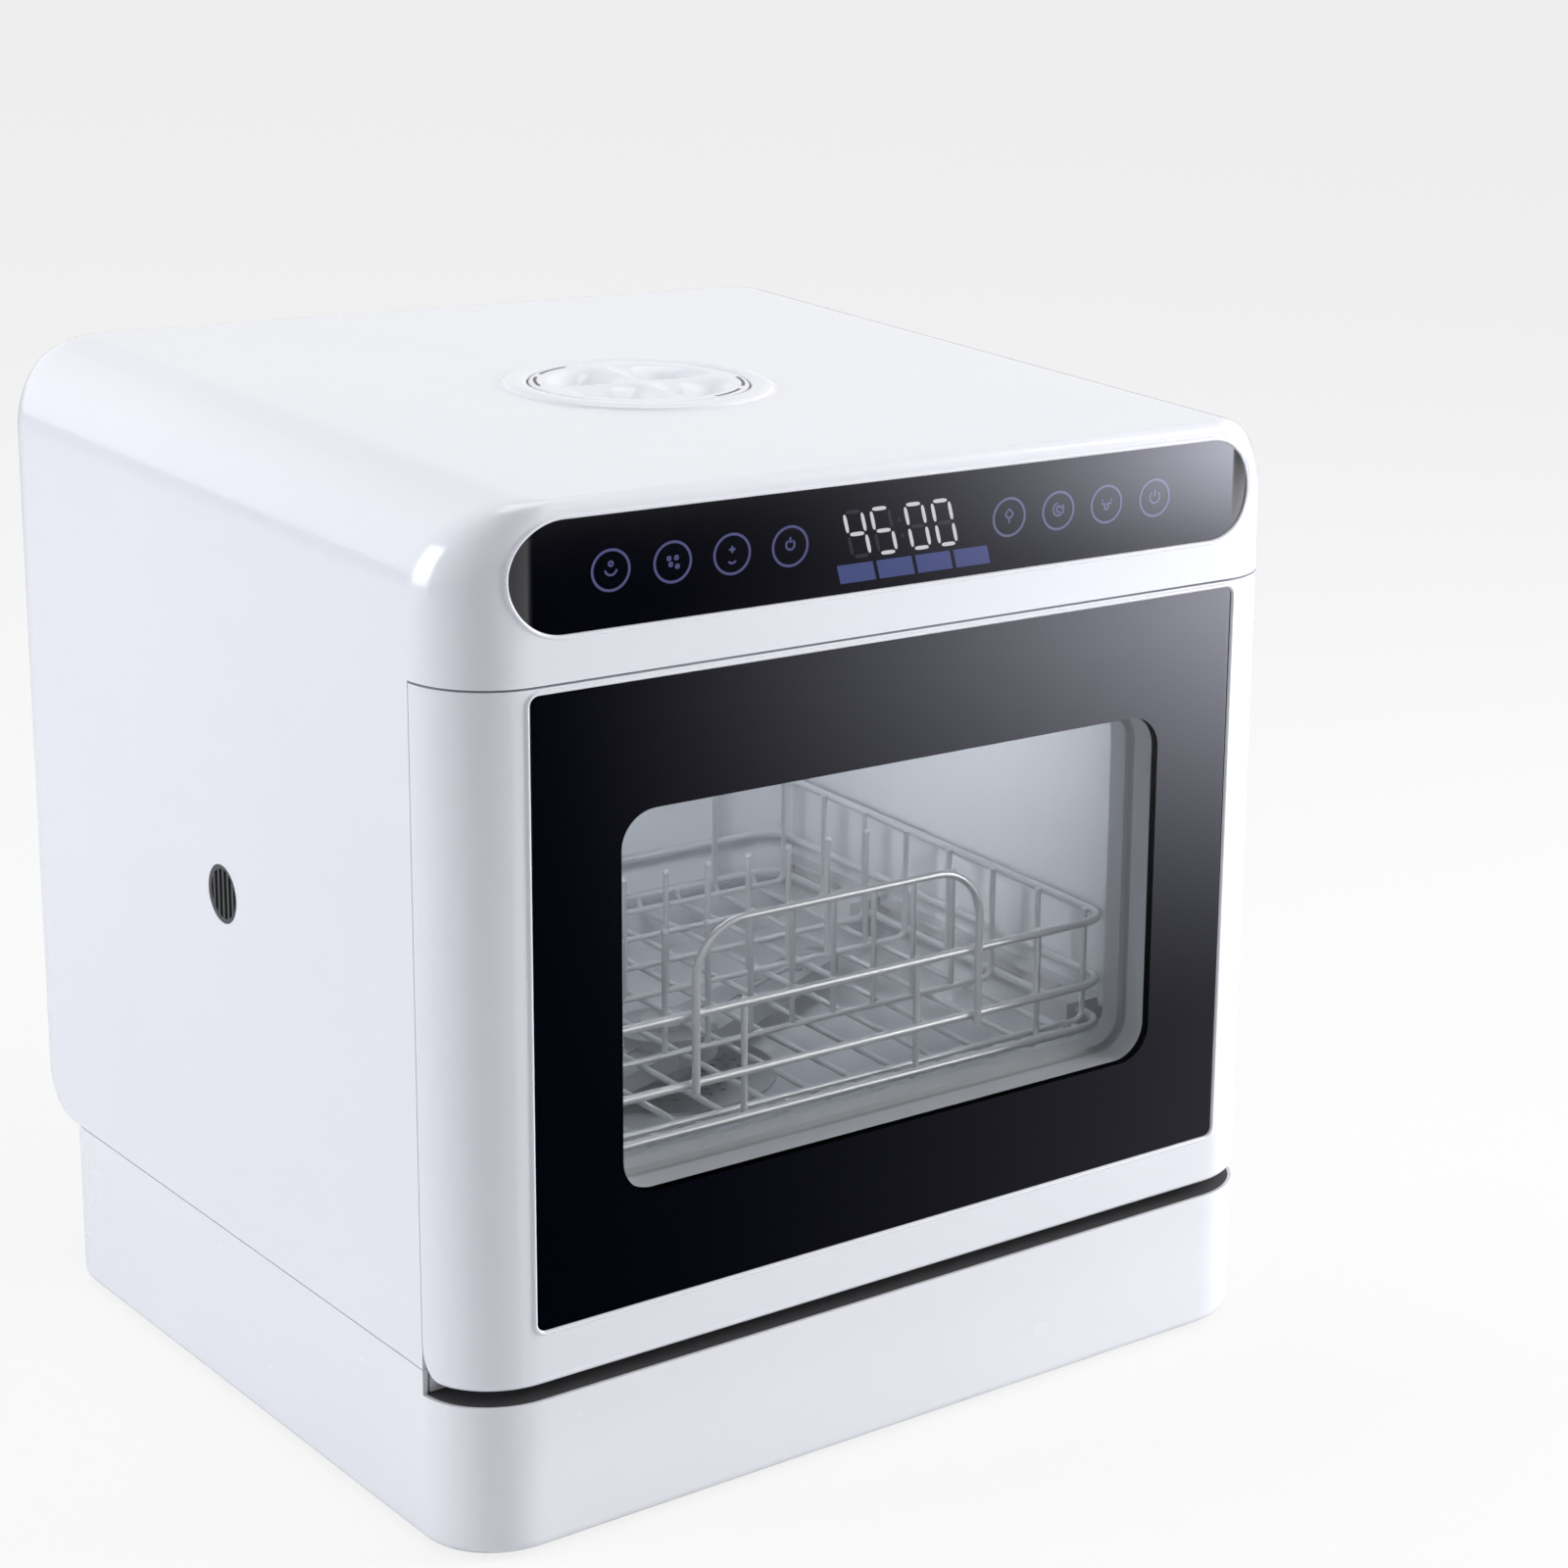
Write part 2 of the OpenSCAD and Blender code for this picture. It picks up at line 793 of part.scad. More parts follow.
// Mains board on four pillars above the chamber, with its transformer, relays and heat sink
module power_board() {
    color("darkgreen") {
        x0 = 62;
        z0 = chamber_z1 + chamber_t;
        for (x = [x0 + 6, x0 + 74], y = [-84, 4])
            translate([x, y, z0])
                cylinder(h = 8 + eps, d = 6);
        box([x0, -90, z0 + 8], [x0 + 80, 10, z0 + 9.6]);
        box([x0 + 8, -78, z0 + 9.6 - eps], [x0 + 38, -46, z0 + 31]);
        for (i = [0:2])
            box([x0 + 46, -78 + i * 20, z0 + 9.6 - eps], [x0 + 60, -62 + i * 20, z0 + 24]);
        box([x0 + 66, -70, z0 + 9.6 - eps], [x0 + 69, -10, z0 + 32]);
    }
}

// Channel on the chamber's side wall that the rack's glides run in
module runner_left() {
    color("gainsboro")
    difference() {
        box([-chamber_hw, chamber_front + 6, runner_z - 5], [-chamber_hw + 8, chamber_back - 2, runner_z + 9]);
        box([-chamber_hw + 2, chamber_front + 5, runner_z], [-chamber_hw + 9, chamber_back - 6, runner_z + 7]);
    }
}

module runner_right() {
    color("gainsboro")
    mirror([1, 0, 0])
        difference() {
            box([-chamber_hw, chamber_front + 6, runner_z - 5],
                [-chamber_hw + 8, chamber_back - 2, runner_z + 9]);
            box([-chamber_hw + 2, chamber_front + 5, runner_z],
                [-chamber_hw + 9, chamber_back - 6, runner_z + 7]);
        }
}

stub_r = stub_d / 2;

// Standpipe of the lower arm: a shoulder, a bearing neck and a head that holds the arm down
module spray_stub_lower() {
    color("lightgray")
    translate([0, chamber_mid, 0]) {
        cylinder_from(sump_z0 + 3, arm_z - clear, stub_r + 3);
        cylinder_from(arm_z - clear - eps, arm_z + arm_t + 5 + clear, stub_r);
        cylinder_from(arm_z + arm_t + 5 + clear - eps, arm_z + arm_t + 8, stub_r + 4);
    }
}

// Upright cylinder between two heights
module cylinder_from(z0, z1, r) {
    translate([0, 0, z0])
        cylinder(h = z1 - z0, r = r);
}

module spray_stub_upper() {
    color("lightgray")
    translate([0, chamber_mid, 0]) {
        cylinder_from(upper_arm_z + arm_t + clear, chamber_z1, stub_r + 8);
        cylinder_from(upper_arm_z - 5 - clear - eps, chamber_z1 + chamber_t + 8, stub_r);
        cylinder_from(upper_arm_z - 9, upper_arm_z - 5 - clear, stub_r + 4);
    }
}

module sump() {
    color("lightgray")
    translate([0, chamber_mid, 0])
        difference() {
            union() {
                cylinder_from(sump_z0, chamber_base_z, sump_r);
                translate([0, 0, chamber_base_z - 3])
                    cylinder(h = 3, r = sump_r + 8);
            }
            cylinder_from(sump_z0 + 3, chamber_floor + 1, sump_r - 6);
            translate([-sump_r - 1, 0, suction_z])
                rotate([0, 90, 0])
                    cylinder(h = 12, r = 8.7);
            translate([sump_r - 11, 0, suction_z])
                rotate([0, 90, 0])
                    cylinder(h = 12, r = 7);
        }
}

// Flat strainer over the sump, with rings of drain holes
module filter_plate() {
    color("silver")
    translate([0, chamber_mid, 0])
        difference() {
            union() {
                cylinder_from(chamber_base_z, chamber_floor, sump_r - 6.3);
                cylinder_from(chamber_floor, chamber_floor + 1.2, sump_r);
            }
            cylinder_from(chamber_base_z - 1, chamber_floor + 2, stub_r + 3.3);
            for (ring = [0:3])
                for (i = [0:11 + ring * 5])
                    rotate([0, 0, (i + ring / 2) * 360 / (12 + ring * 5)])
                        translate([stub_r + 9 + ring * 6, 0, chamber_base_z - 1])
                            cylinder(h = chamber_t + 4, d = 3);
        }
}

// Fine filter basket round the standpipe, hanging in the sump under the strainer
module filter_cup() {
    color("silver")
    translate([0, chamber_mid, 0])
        difference() {
            cylinder_from(sump_z0 + 3, chamber_base_z, sump_r - 12);
            cylinder_from(sump_z0 + 2, chamber_base_z + 1, sump_r - 13.5);
            for (i = [0:17], z = [0:3])
                rotate([0, 0, i * 20])
                    translate([sump_r - 15, 0, sump_z0 + 9 + z * 9])
                        rotate([0, 90, 0])
                            cylinder(h = 6, d = 4);
        }
}

pump_y = chamber_mid;
heater_z = pump_z + pump_r + 6;
outlet_x = 33;
outlet_y = pump_r - 8;
outlet_top = pump_r - 6;
riser_y = chamber_back + chamber_t - 3;
heater_len = riser_y - 26 - pump_y - outlet_y;

// Motor, volute and its two necks, lying on a foot on the base
module wash_pump() {
    color("dimgray")
    translate([pump_x, pump_y, pump_z]) {
        rotate([0, 90, 0]) {
            translate([0, 0, -42])
                cylinder(h = 64, r = pump_r - 6);
            translate([0, 0, 22 - eps])
                cylinder(h = 22, r = pump_r);
        }
        box([-36, -16, base_floor + floor_t - pump_z], [16, 16, -20]);
        translate([outlet_x, outlet_y, 0])
            cylinder(h = outlet_top, r = 8);
    }
}

// Straight hose between the sump and the pump's inlet
module pump_hose() {
    color("black")
    rod([pump_x + 44, pump_y, suction_z], [-sump_r + 5.5, chamber_mid, suction_z], 17);
}

// Small pump that empties the sump
module drain_pump() {
    color("dimgray")
    translate([drain_pump_x, pump_y, drain_pump_z]) {
        rotate([0, 90, 0]) {
            cylinder(h = 46, r = 24);
            translate([0, 0, -18])
                cylinder(h = 18 + eps, r = 28);
        }
        box([4, -12, base_floor + floor_t - drain_pump_z], [40, 12, -12]);
    }
}

// Short hose into the drain pump, and the long one from it to the drain spigot
module drain_hose() {
    color("black") {
        rod([sump_r - 5.5, chamber_mid, suction_z], [drain_pump_x - 18, chamber_mid, suction_z], 13.6);
        bent_pipe([[drain_pump_x - 8, pump_y + 28.1, drain_pump_z],
            [drain_pump_x - 8, base_rear - 34, drain_pump_z], [drain_pump_x - 8, base_rear - 34, service_z],
            [drain_x, base_rear - 34, service_z], [drain_x, base_rear - wall - 12.2, service_z]], 9, 14);
    }
}

// Tube with the heating element wound inside, in the pump's outlet
module flow_heater() {
    color("silver")
    translate([pump_x + outlet_x, pump_y + outlet_y, heater_z]) {
        rotate([-90, 0, 0])
            cylinder_from(-10.4, heater_len, 11);
        for (y = [0.2, 0.75])
            rotate([-90, 0, 0])
                cylinder_from(y * heater_len, y * heater_len + 10, 13);
        // neck down to the pump's outlet
        cylinder_from(pump_z + outlet_top - heater_z, 0, 9);
    }
}

// Riser behind the chamber, and its branch to the upper arm
module feed_pipe() {
    x = pump_x + outlet_x;
    top_z = chamber_z1 + chamber_t + 14;
    color("lightgray")
    union() {
        bent_pipe([[x, pump_y + outlet_y + heater_len, heater_z], [x, riser_y, heater_z],
            [-tank_hw - 14, riser_y, heater_z], [-tank_hw - 14, riser_y, top_z],
            [0, riser_y, top_z], [0, chamber_mid, top_z]], 12, 11);
        // socket on the upper standpipe
        translate([0, chamber_mid, 0])
            cylinder_from(chamber_z1 + chamber_t + 8, chamber_z1 + chamber_t + 21, stub_r + 2);
    }
}

// Hose from the tank's outlet to the side of the sump
module tank_hose() {
    ty = (tank_y0 + tank_y1) / 2;
    hose_z = min(sump_z0 + 28, tank_z0 - 10);
    color("black")
    bent_pipe([[tank_hw - 30, ty, tank_z0 + 0.1], [tank_hw - 30, ty, hose_z],
        [tank_hw - 30, chamber_back - 40, hose_z], [0, chamber_back - 40, hose_z],
        [0, chamber_mid + sump_r + 0.05, hose_z]], 8, 9.6);
}

// Threaded neck for a tap hose, with its valve body inside
module water_inlet() {
    color("lightgray")
    translate([inlet_x, base_rear, service_z])
        rotate([-90, 0, 0]) {
            cylinder(h = spigot_len, r = inlet_r);
            translate([0, 0, -wall - 3])
                cylinder(h = wall + 3 + eps, r = inlet_r - 0.2);
            translate([0, 0, -wall - 34])
                cylinder(h = 31 + eps, r = inlet_r + 5);
        }
}

// Spigot for the drain hose
module drain_spigot() {
    color("dimgray")
    translate([drain_x, base_rear, service_z])
        rotate([-90, 0, 0]) {
            cylinder(h = spigot_len, r = drain_r);
            translate([0, 0, -wall - 6])
                cylinder(h = wall + 6 + eps, r = drain_r - 0.2);
            translate([0, 0, -wall - 6])
                cylinder(h = 6, r = drain_r + 5);
            translate([0, 0, -wall - 12])
                cylinder(h = 7, r = drain_r);
        }
}

// Gland of the mains lead
module cord_gland() {
    color("black")
    translate([gland_x, base_rear, service_z])
        rotate([-90, 0, 0])
            difference() {
                union() {
                    translate([0, 0, -wall - 3])
                        cylinder(h = 3, r = 10);
                    translate([0, 0, -wall - eps])
                        cylinder(h = wall + eps, r = 7);
                    cylinder(h = 3, r = 10);
                    translate([0, 0, 3 - eps])
                        cylinder(h = 12, r1 = 8, r2 = 5.5);
                }
                translate([0, 0, -wall - 4])
                    cylinder(h = wall + 24, r = 3.6);
            }
}

// ---- hinges and latch ----
hinge_spots = [-half_w + 46, half_w - 46];
arm_w = 4;
ear_w = 3;

// Fork at each side that carries the door's pin
module hinge_brackets() {
    color("silver")
    for (x = hinge_spots)
        difference() {
            union() {
                for (s = [-1, 1])
                    side_slab(x + s * (arm_w / 2 + clear + ear_w / 2) - ear_w / 2,
                        x + s * (arm_w / 2 + clear + ear_w / 2) + ear_w / 2) {
                            translate([hinge_y, hinge_z])
                                circle(r = ear_r - 1);
                            polygon([[hinge_y, hinge_z - ear_r + 1], [frame_back + 14, hinge_z - ear_r + 1],
                                [frame_back + 14, hinge_z + ear_r - 1], [hinge_y, hinge_z + ear_r - 1]]);
                        }
                // web that joins the two ears and is screwed to the frame's back
                box([x - arm_w / 2 - clear - ear_w, frame_back + 8, hinge_z - ear_r + 1],
                    [x + arm_w / 2 + clear + ear_w, frame_back + 14, hinge_z + ear_r - 1]);
                difference() {
                    box([x - 18, frame_back, hinge_z - 22], [x + 18, frame_back + 2.5, hinge_z + 8]);
                    box([x - arm_w / 2 - clear, frame_back - 1, hinge_z - ear_r],
                        [x + arm_w / 2 + clear, frame_back + 3, hinge_z + ear_r]);
                }
            }
            translate([x - 20, hinge_y, hinge_z])
                rotate([0, 90, 0])
                    cylinder(h = 40, d = pin_d + 0.04);
        }
}

module hinge_pins() {
    color("gray")
    for (x = hinge_spots)
        translate([x - arm_w / 2 - clear - ear_w - 1, hinge_y, hinge_z])
            rotate([0, 90, 0])
                cylinder(h = arm_w + 2 * (clear + ear_w + 1), d = pin_d);
}

// Steel arms screwed to the liner, turning on the pins
module hinge_arms() {
    color("silver")
    for (x = hinge_spots)
        difference() {
            union() {
                side_slab(x - arm_w / 2, x + arm_w / 2) {
                    translate([hinge_y, hinge_z])
                        circle(r = ear_r - 0.5);
                    polygon([[hinge_y - ear_r + 0.5, hinge_z], [hinge_y + ear_r - 0.5, hinge_z],
                        [liner_front, liner_z0 + 8], [liner_front, liner_z0 + 46],
                        [hinge_y - ear_r + 0.5, liner_z0 + 10]]);
                }
                box([x - 12, liner_front - 2.5, liner_z0 + 12], [x + 12, liner_front, liner_z0 + 50]);
            }
            translate([x - 5, hinge_y, hinge_z])
                rotate([0, 90, 0])
                    cylinder(h = 10, d = pin_d + 2 * run);
        }
}

latch_z = liner_z1 - 3;
latch_foot = max(latch_z - 16, window_zc + window_h / 2 + 3.5);

// Tongue at the top of the door
module latch_tongue() {
    color("gray")
    difference() {
        union() {
            box([-8, liner_front - 3, latch_foot], [8, liner_front, latch_z + 2]);
            box([-8, liner_front - 3, latch_z - 1], [8, frame_back + 12, latch_z + 2]);
        }
        box([-4, frame_back + 4, latch_z - 2], [4, frame_back + 9, latch_z + 3]);
    }
}

// Housing under the header that the tongue runs into
module latch_catch() {
    color("black")
    difference() {
        box([-16, frame_back, latch_z - 6], [16, frame_back + 24, header_z0]);
        box([-10, frame_back - 1, latch_z - 3], [10, frame_back + 20, header_z0 - 2]);
    }
}

// ---- door ----
door_wall = wall + 0.3;
door_screw_z = [liner_z0 + 18, (liner_z0 + liner_z1) / 2, liner_z1 - 18];
door_screw_x = liner_w / 2 - 8.5;

// The front slice of the body: its lower rear edge turns round the hinge line
module door_form(inset, back) {
    rear_r = back > door_back ? 0 : hinge_in;
    intersection() {
        translate([0, 0, door_z0])
            linear_extrude(door_z1 - door_z0)
                plan(inset, rear);
        side_slab(-half_w, half_w)
            corner_rect(front + inset, back, door_z0 + inset, door_z1 - inset,
                [door_edge_r - inset, rear_r, 0, 0.8]);
    }
}

// Puts a piece, its axis to the rear, at each screw of the door's liner
module door_screw_places(y) {
    for (x = [-1, 1], z = door_screw_z)
        translate([x * door_screw_x, y, z])
            rotate([-90, 0, 0])
                children();
}

module door_frame() {
    color("white")
    difference() {
        union() {
            difference() {
                door_form(0, door_back);
                door_form(door_wall, rear);
            }
            // rim and ledge of the glass
            intersection() {
                front_slab(front - 1, rim_back)
                    glass_outline(rim_w);
                door_form(0, door_back);
            }
            // bosses for the liner's screws
            door_screw_places(0)
                cylinder_from(front + 6, liner_front, 4);
        }
        front_slab(front - 1, glass_back)
            glass_outline(0.15);
        front_slab(front - 1, rim_back + 1)
            glass_outline(-ledge);
        door_screw_places(0)
            cylinder_from(liner_front - 10, liner_front + 1, 1.75);
        // room in the lower wall for the hinge forks
        for (x = hinge_spots)
            box([x - 8, hinge_y - ear_r - 2, door_z0 - 1], [x + 8, door_back + 1, door_z0 + door_wall + 1]);
    }
}

module door_glass() {
    color([0.2, 0.22, 0.25, 0.4])
    intersection() {
        front_slab(front - 1, glass_back)
            glass_outline(0);
        translate([0, 0, door_z0])
            linear_extrude(door_z1 - door_z0)
                plan(glass_sink, rear);
    }
}

// Black border fired on the back of the glass, with the clear window
module glass_border() {
    color("black")
    difference() {
        front_slab(glass_back, glass_back + border_t)
            glass_outline(-ledge - 0.3);
        front_slab(glass_back - 1, glass_back + border_t + 1)
            window_outline(0);
    }
}

// Inner moulding: back plate, edge flange, window reveal and stiffening ribs
module door_liner() {
    color("gainsboro")
    difference() {
        union() {
            front_slab(liner_front, liner_back)
                corner_rect(-liner_w / 2, liner_w / 2, liner_z0, liner_z1, [12, 12, 12, 12]);
            difference() {
                front_slab(rim_back + 4, liner_back)
                    corner_rect(-liner_w / 2, liner_w / 2, liner_z0, liner_z1, [12, 12, 12, 12]);
                front_slab(rim_back, liner_back + 1)
                    corner_rect(-liner_w / 2 + 2.5, liner_w / 2 - 2.5, liner_z0 + 2.5, liner_z1 - 2.5,
                        [10, 10, 10, 10]);
            }
            front_slab(glass_back + border_t, liner_back)
                window_outline(2.5);
            // ribs from the window to the edge flange
            for (x = [-110, -55, 0, 55, 110])
                box([x - 1, rim_back + 5, liner_z0 + 1], [x + 1, liner_front + eps, window_zc - window_h / 2 - 2]);
        }
        front_slab(glass_back - 1, liner_back + 1)
            window_outline(-ledge / 2);
        // seat of the inner pane
        front_slab(glass_back - 1, pane_front + pane_t)
            window_outline(0);
        // room round each hinge arm
        for (x = hinge_spots)
            box([x - arm_w / 2 - 1, rim_back, liner_z0 - 1], [x + arm_w / 2 + 1, liner_front, liner_z0 + 8]);
        // notch of the latch tongue
        box([-8.3, liner_front - 5, latch_z - 1.3], [8.3, liner_back + 1, liner_z1 + 1]);
        door_screw_places(0)
            cylinder_from(liner_front - 1, liner_back + 1, 1.9);
    }
}

// Screws that hold the liner in the door's frame
module door_screws() {
    color("silver")
    door_screw_places(liner_back) {
        cylinder_from(0, 1.8, 3.2);
        cylinder_from(-11, eps, 1.7);
    }
}

module inner_pane() {
    color([0.75, 0.8, 0.82, 0.4])
    front_slab(pane_front, pane_front + pane_t)
        window_outline(-0.15);
}

// ---- rack ----

// Closed rail round the rack at one height
module rack_loop(z, d) {
    c = rack_corner;
    corners = [[rack_hw - c, rack_y0 + c, 0], [rack_hw - c, rack_y1 - c, 90],
        [-rack_hw + c, rack_y1 - c, 180], [-rack_hw + c, rack_y0 + c, 270]];
    rod([-rack_hw + c, rack_y0, z], [rack_hw - c, rack_y0, z], d);
    rod([-rack_hw + c, rack_y1, z], [rack_hw - c, rack_y1, z], d);
    rod([-rack_hw, rack_y0 + c, z], [-rack_hw, rack_y1 - c, z], d);
    rod([rack_hw, rack_y0 + c, z], [rack_hw, rack_y1 - c, z], d);
    for (p = corners)
        translate([p[0], p[1], z])
            rotate([0, 0, p[2] - 90])
                rotate_extrude(angle = 90)
                    translate([c, 0])
                        circle(d = d);
}

// Wire bent up at both ends: a floor part from -half to half along X at height z,
// and two legs that reach height top
module bent_wire(half, z, top, d) {
    for (s = [-1, 1]) {
        translate([s * half, 0, z + bend_r])
            cylinder(h = top - z - bend_r, d = d);
        translate([s * (half - bend_r), 0, z + bend_r])
            rotate([90, 0, 0])
                rotate([0, 0, s > 0 ? 270 : 180])
                    rotate_extrude(angle = 90)
                        translate([bend_r, 0])
                            circle(d = d);
    }
    translate([-half + bend_r, 0, z])
        rotate([0, 90, 0])
            cylinder(h = 2 * (half - bend_r), d = d);
}

// Three rails, and the raised hoop that is welded on them at the front
module rack_rails() {
    hoop_y = rack_y0 - (wire_d + hoop_d) / 2 - weld;
    hoop_top = rail_z + hoop_h;
    color("silver") {
        for (z = [rack_z0, mid_rail_z, rail_z])
            rack_loop(z, wire_d);
        for (s = [-1, 1]) {
            translate([s * hoop_half, hoop_y, mid_rail_z - 3])
                cylinder(h = hoop_top - hoop_bend - mid_rail_z + 3, d = hoop_d);
            translate([s * (hoop_half - hoop_bend), hoop_y, hoop_top - hoop_bend])
                rotate([90, 0, 0])
                    rotate([0, 0, s > 0 ? 0 : 90])
                        rotate_extrude(angle = 90)
                            translate([hoop_bend, 0])
                                circle(d = hoop_d);
        }
        translate([-hoop_half + hoop_bend, hoop_y, hoop_top])
            rotate([0, 90, 0])
                cylinder(h = 2 * (hoop_half - hoop_bend), d = hoop_d);
    }
}

// Floor wires from front to back, four of which reach the upper rail, and the cross wires on them
module rack_wires() {
    color("silver") {
        for (i = [-6:6])
            translate([i * floor_step, (rack_y0 + rack_y1) / 2, 0])
                rotate([0, 0, 90])
                    bent_wire((rack_y1 - rack_y0) / 2 - weld_step, floor_wire_z,
                        abs(i) == 2 || abs(i) == 5 ? rail_z + 1 : rack_z0 + 1, thin_d);
        for (i = [0:cross_n])
            translate([0, rack_y0 + rack_corner + i * cross_step, 0])
                bent_wire(rack_hw - weld_step, cross_wire_z, rail_z + 1, thin_d);
    }
}

// Two rows of tines that hold plates on edge, welded on two cross wires
module rack_tines() {
    color("silver")
    for (row = [2, 4], i = [-6:5])
        translate([(i + 0.5) * floor_step, rack_y0 + rack_corner + row * cross_step,
            cross_wire_z + thin_d / 2 + weld]) {
            cylinder(h = tine_h, d = thin_d * 0.9);
            translate([0, 0, tine_h])
                sphere(d = thin_d * 1.2);
        }
}

// Four plastic glides that run in the channels
module rack_glides() {
    color("lightgray")
    both_sides()
        for (i = [0, 5]) {
            y = rack_y0 + rack_corner + i * cross_step + 7;
            difference() {
                union() {
                    box([rack_hw - 7, y, runner_z + clear], [chamber_hw - 2 - clear, y + 22, runner_z + 7 - clear]);
                    box([rack_hw - 7, y, runner_z + clear], [chamber_hw - 8 - clear, y + 22, rack_z0 + wire_d]);
                }
                translate([rack_hw, y - 1, rack_z0])
                    rotate([-90, 0, 0])
                        cylinder(h = 24, d = wire_d + 0.1);
            }
        }
}

// ---- spray arms ----

// Two tapered blades on a hub, with a row of jets on the side named by up
module spray_arm(up) {
    tip_r = 11;
    reach = arm_span / 2 - tip_r;
    jet_z = up > 0 ? arm_t - eps : -1.5;
    hub_z = up > 0 ? 0 : -5;
    difference() {
        union() {
            linear_extrude(arm_t) {
                polygon([[-reach, -tip_r], [0, -19], [reach, -tip_r], [reach, tip_r], [0, 19], [-reach, tip_r]]);
                translate([-reach, 0])
                    circle(r = tip_r);
                translate([reach, 0])
                    circle(r = tip_r);
            }
            translate([0, 0, hub_z])
                cylinder(h = arm_t + 5, r = 24);
            for (s = [-1, 1], i = [0:4])
                translate([s * (40 + i * 22), s * (i % 2 == 0 ? 4 : -4), jet_z])
                    cylinder(h = 1.5 + eps, r = 3);
            // long rib that holds the two halves of the arm together
            for (s = [-1, 1])
                translate([s > 0 ? 22 : -reach, -1, up > 0 ? arm_t - eps : -1.2])
                    cube([reach - 22, 2, 1.2 + eps]);
        }
        translate([0, 0, -10])
            cylinder(h = 30, r = stub_r + run);
    }
}

module spray_arm_lower() {
    color("gainsboro")
    translate([0, chamber_mid, arm_z])
        rotate([0, 0, 24])
            spray_arm(1);
}

module spray_arm_upper() {
    color("gainsboro")
    translate([0, chamber_mid, upper_arm_z])
        rotate([0, 0, -30])
            spray_arm(-1);
}

// ---- cap ----

// Cap with an X-shaped grip left between four scooped finger hollows
module filler_cap() {
    grip_turn = 40;
    scoop_r = 20;
    top = body_h + collar_h - 0.5;
    color("white")
    translate([filler_x, filler_y, 0])
        difference() {
            union() {
                rotate_extrude() {
                    polygon([[0, collar_floor + 2.5 + clear], [cap_r - 1, collar_floor + 2.5 + clear],
                        [cap_r, collar_floor + 4], [cap_r, top - 1], [cap_r - 1, top], [0, top]]);
                    // skirt that turns in the throat
                    polygon([[throat_r - 5, throat_z0 + 4], [throat_r - 1.2, throat_z0 + 4],
                        [throat_r - 1.2, collar_floor + 4], [throat_r - 5, collar_floor + 4]]);
                }
            }
            // finger hollows
            for (i = [0:3])
                rotate([0, 0, grip_turn + i * 90])
                    translate([cap_r - 21, 0, top + scoop_r * 0.6])
                        sphere(r = scoop_r, $fn = 96);
            // dash marks, two at each side
            for (s = [0, 180], a = [105, 141])
                rotate([0, 0, s + a])
                    translate([0, 0, top - 0.6])
                        rotate_extrude(angle = 27)
                            translate([cap_r - 3.2, 0])
                                square([1.6, 2]);
        }
}

module cap_seal() {
    color("dimgray")
    translate([filler_x, filler_y, throat_z0 + 8])
        rotate_extrude()
            difference() {
                translate([throat_r - 1.5 - clear, 0])
                    circle(r = 1.5);
                translate([throat_r - 5, -2])
                    square([3.8, 4]);
            }
}

module feet() {
    color("dimgray")
    for (p = foot_spots)
        translate([p[0], p[1], 0]) {
            cylinder(h = foot_h, d = foot_d);
            cylinder(h = foot_h + floor_t / 2, d = foot_d - 4.4);
        }
}

// Screws of the rear cover
module screws() {
    color("silver")
    cover_screw_places() {
        cylinder_from(-2.3, -0.3, 3.3);
        cylinder_from(-cover_boss - 4, -2.3 + eps, 1.35);
    }
}

outer_shell();
rear_cover();
base_tray();
front_frame();
wash_chamber();
door_seal();
control_glass();
panel_carrier();
display_module();
control_board();
air_grille();
drying_blower();
filler_collar();
filler_duct();
water_tank();
power_board();
runner_left();
runner_right();
spray_stub_lower();
spray_stub_upper();
sump();
filter_plate();
filter_cup();
wash_pump();
drain_pump();
flow_heater();
feed_pipe();
pump_hose();
tank_hose();
drain_hose();
water_inlet();
drain_spigot();
cord_gland();
hinge_brackets();
hinge_pins();
latch_catch();
feet();
screws();
door_frame();
door_glass();
glass_border();
door_liner();
inner_pane();
hinge_arms();
latch_tongue();
door_screws();
rack_rails();
rack_wires();
rack_tines();
rack_glides();
spray_arm_lower();
spray_arm_upper();
filler_cap();
cap_seal();
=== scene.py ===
# %% [markdown]
# # A countertop dishwasher, dressed for its picture
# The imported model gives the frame: every moulding, wire and pin stands where the construction puts
# it. This lesson gives each visible piece the surface that the real one has. It works in metres,
# with Z up and the door on the -Y side.

import json
import math

import bmesh
import bpy
import numpy as np
from mathutils import Matrix, Vector


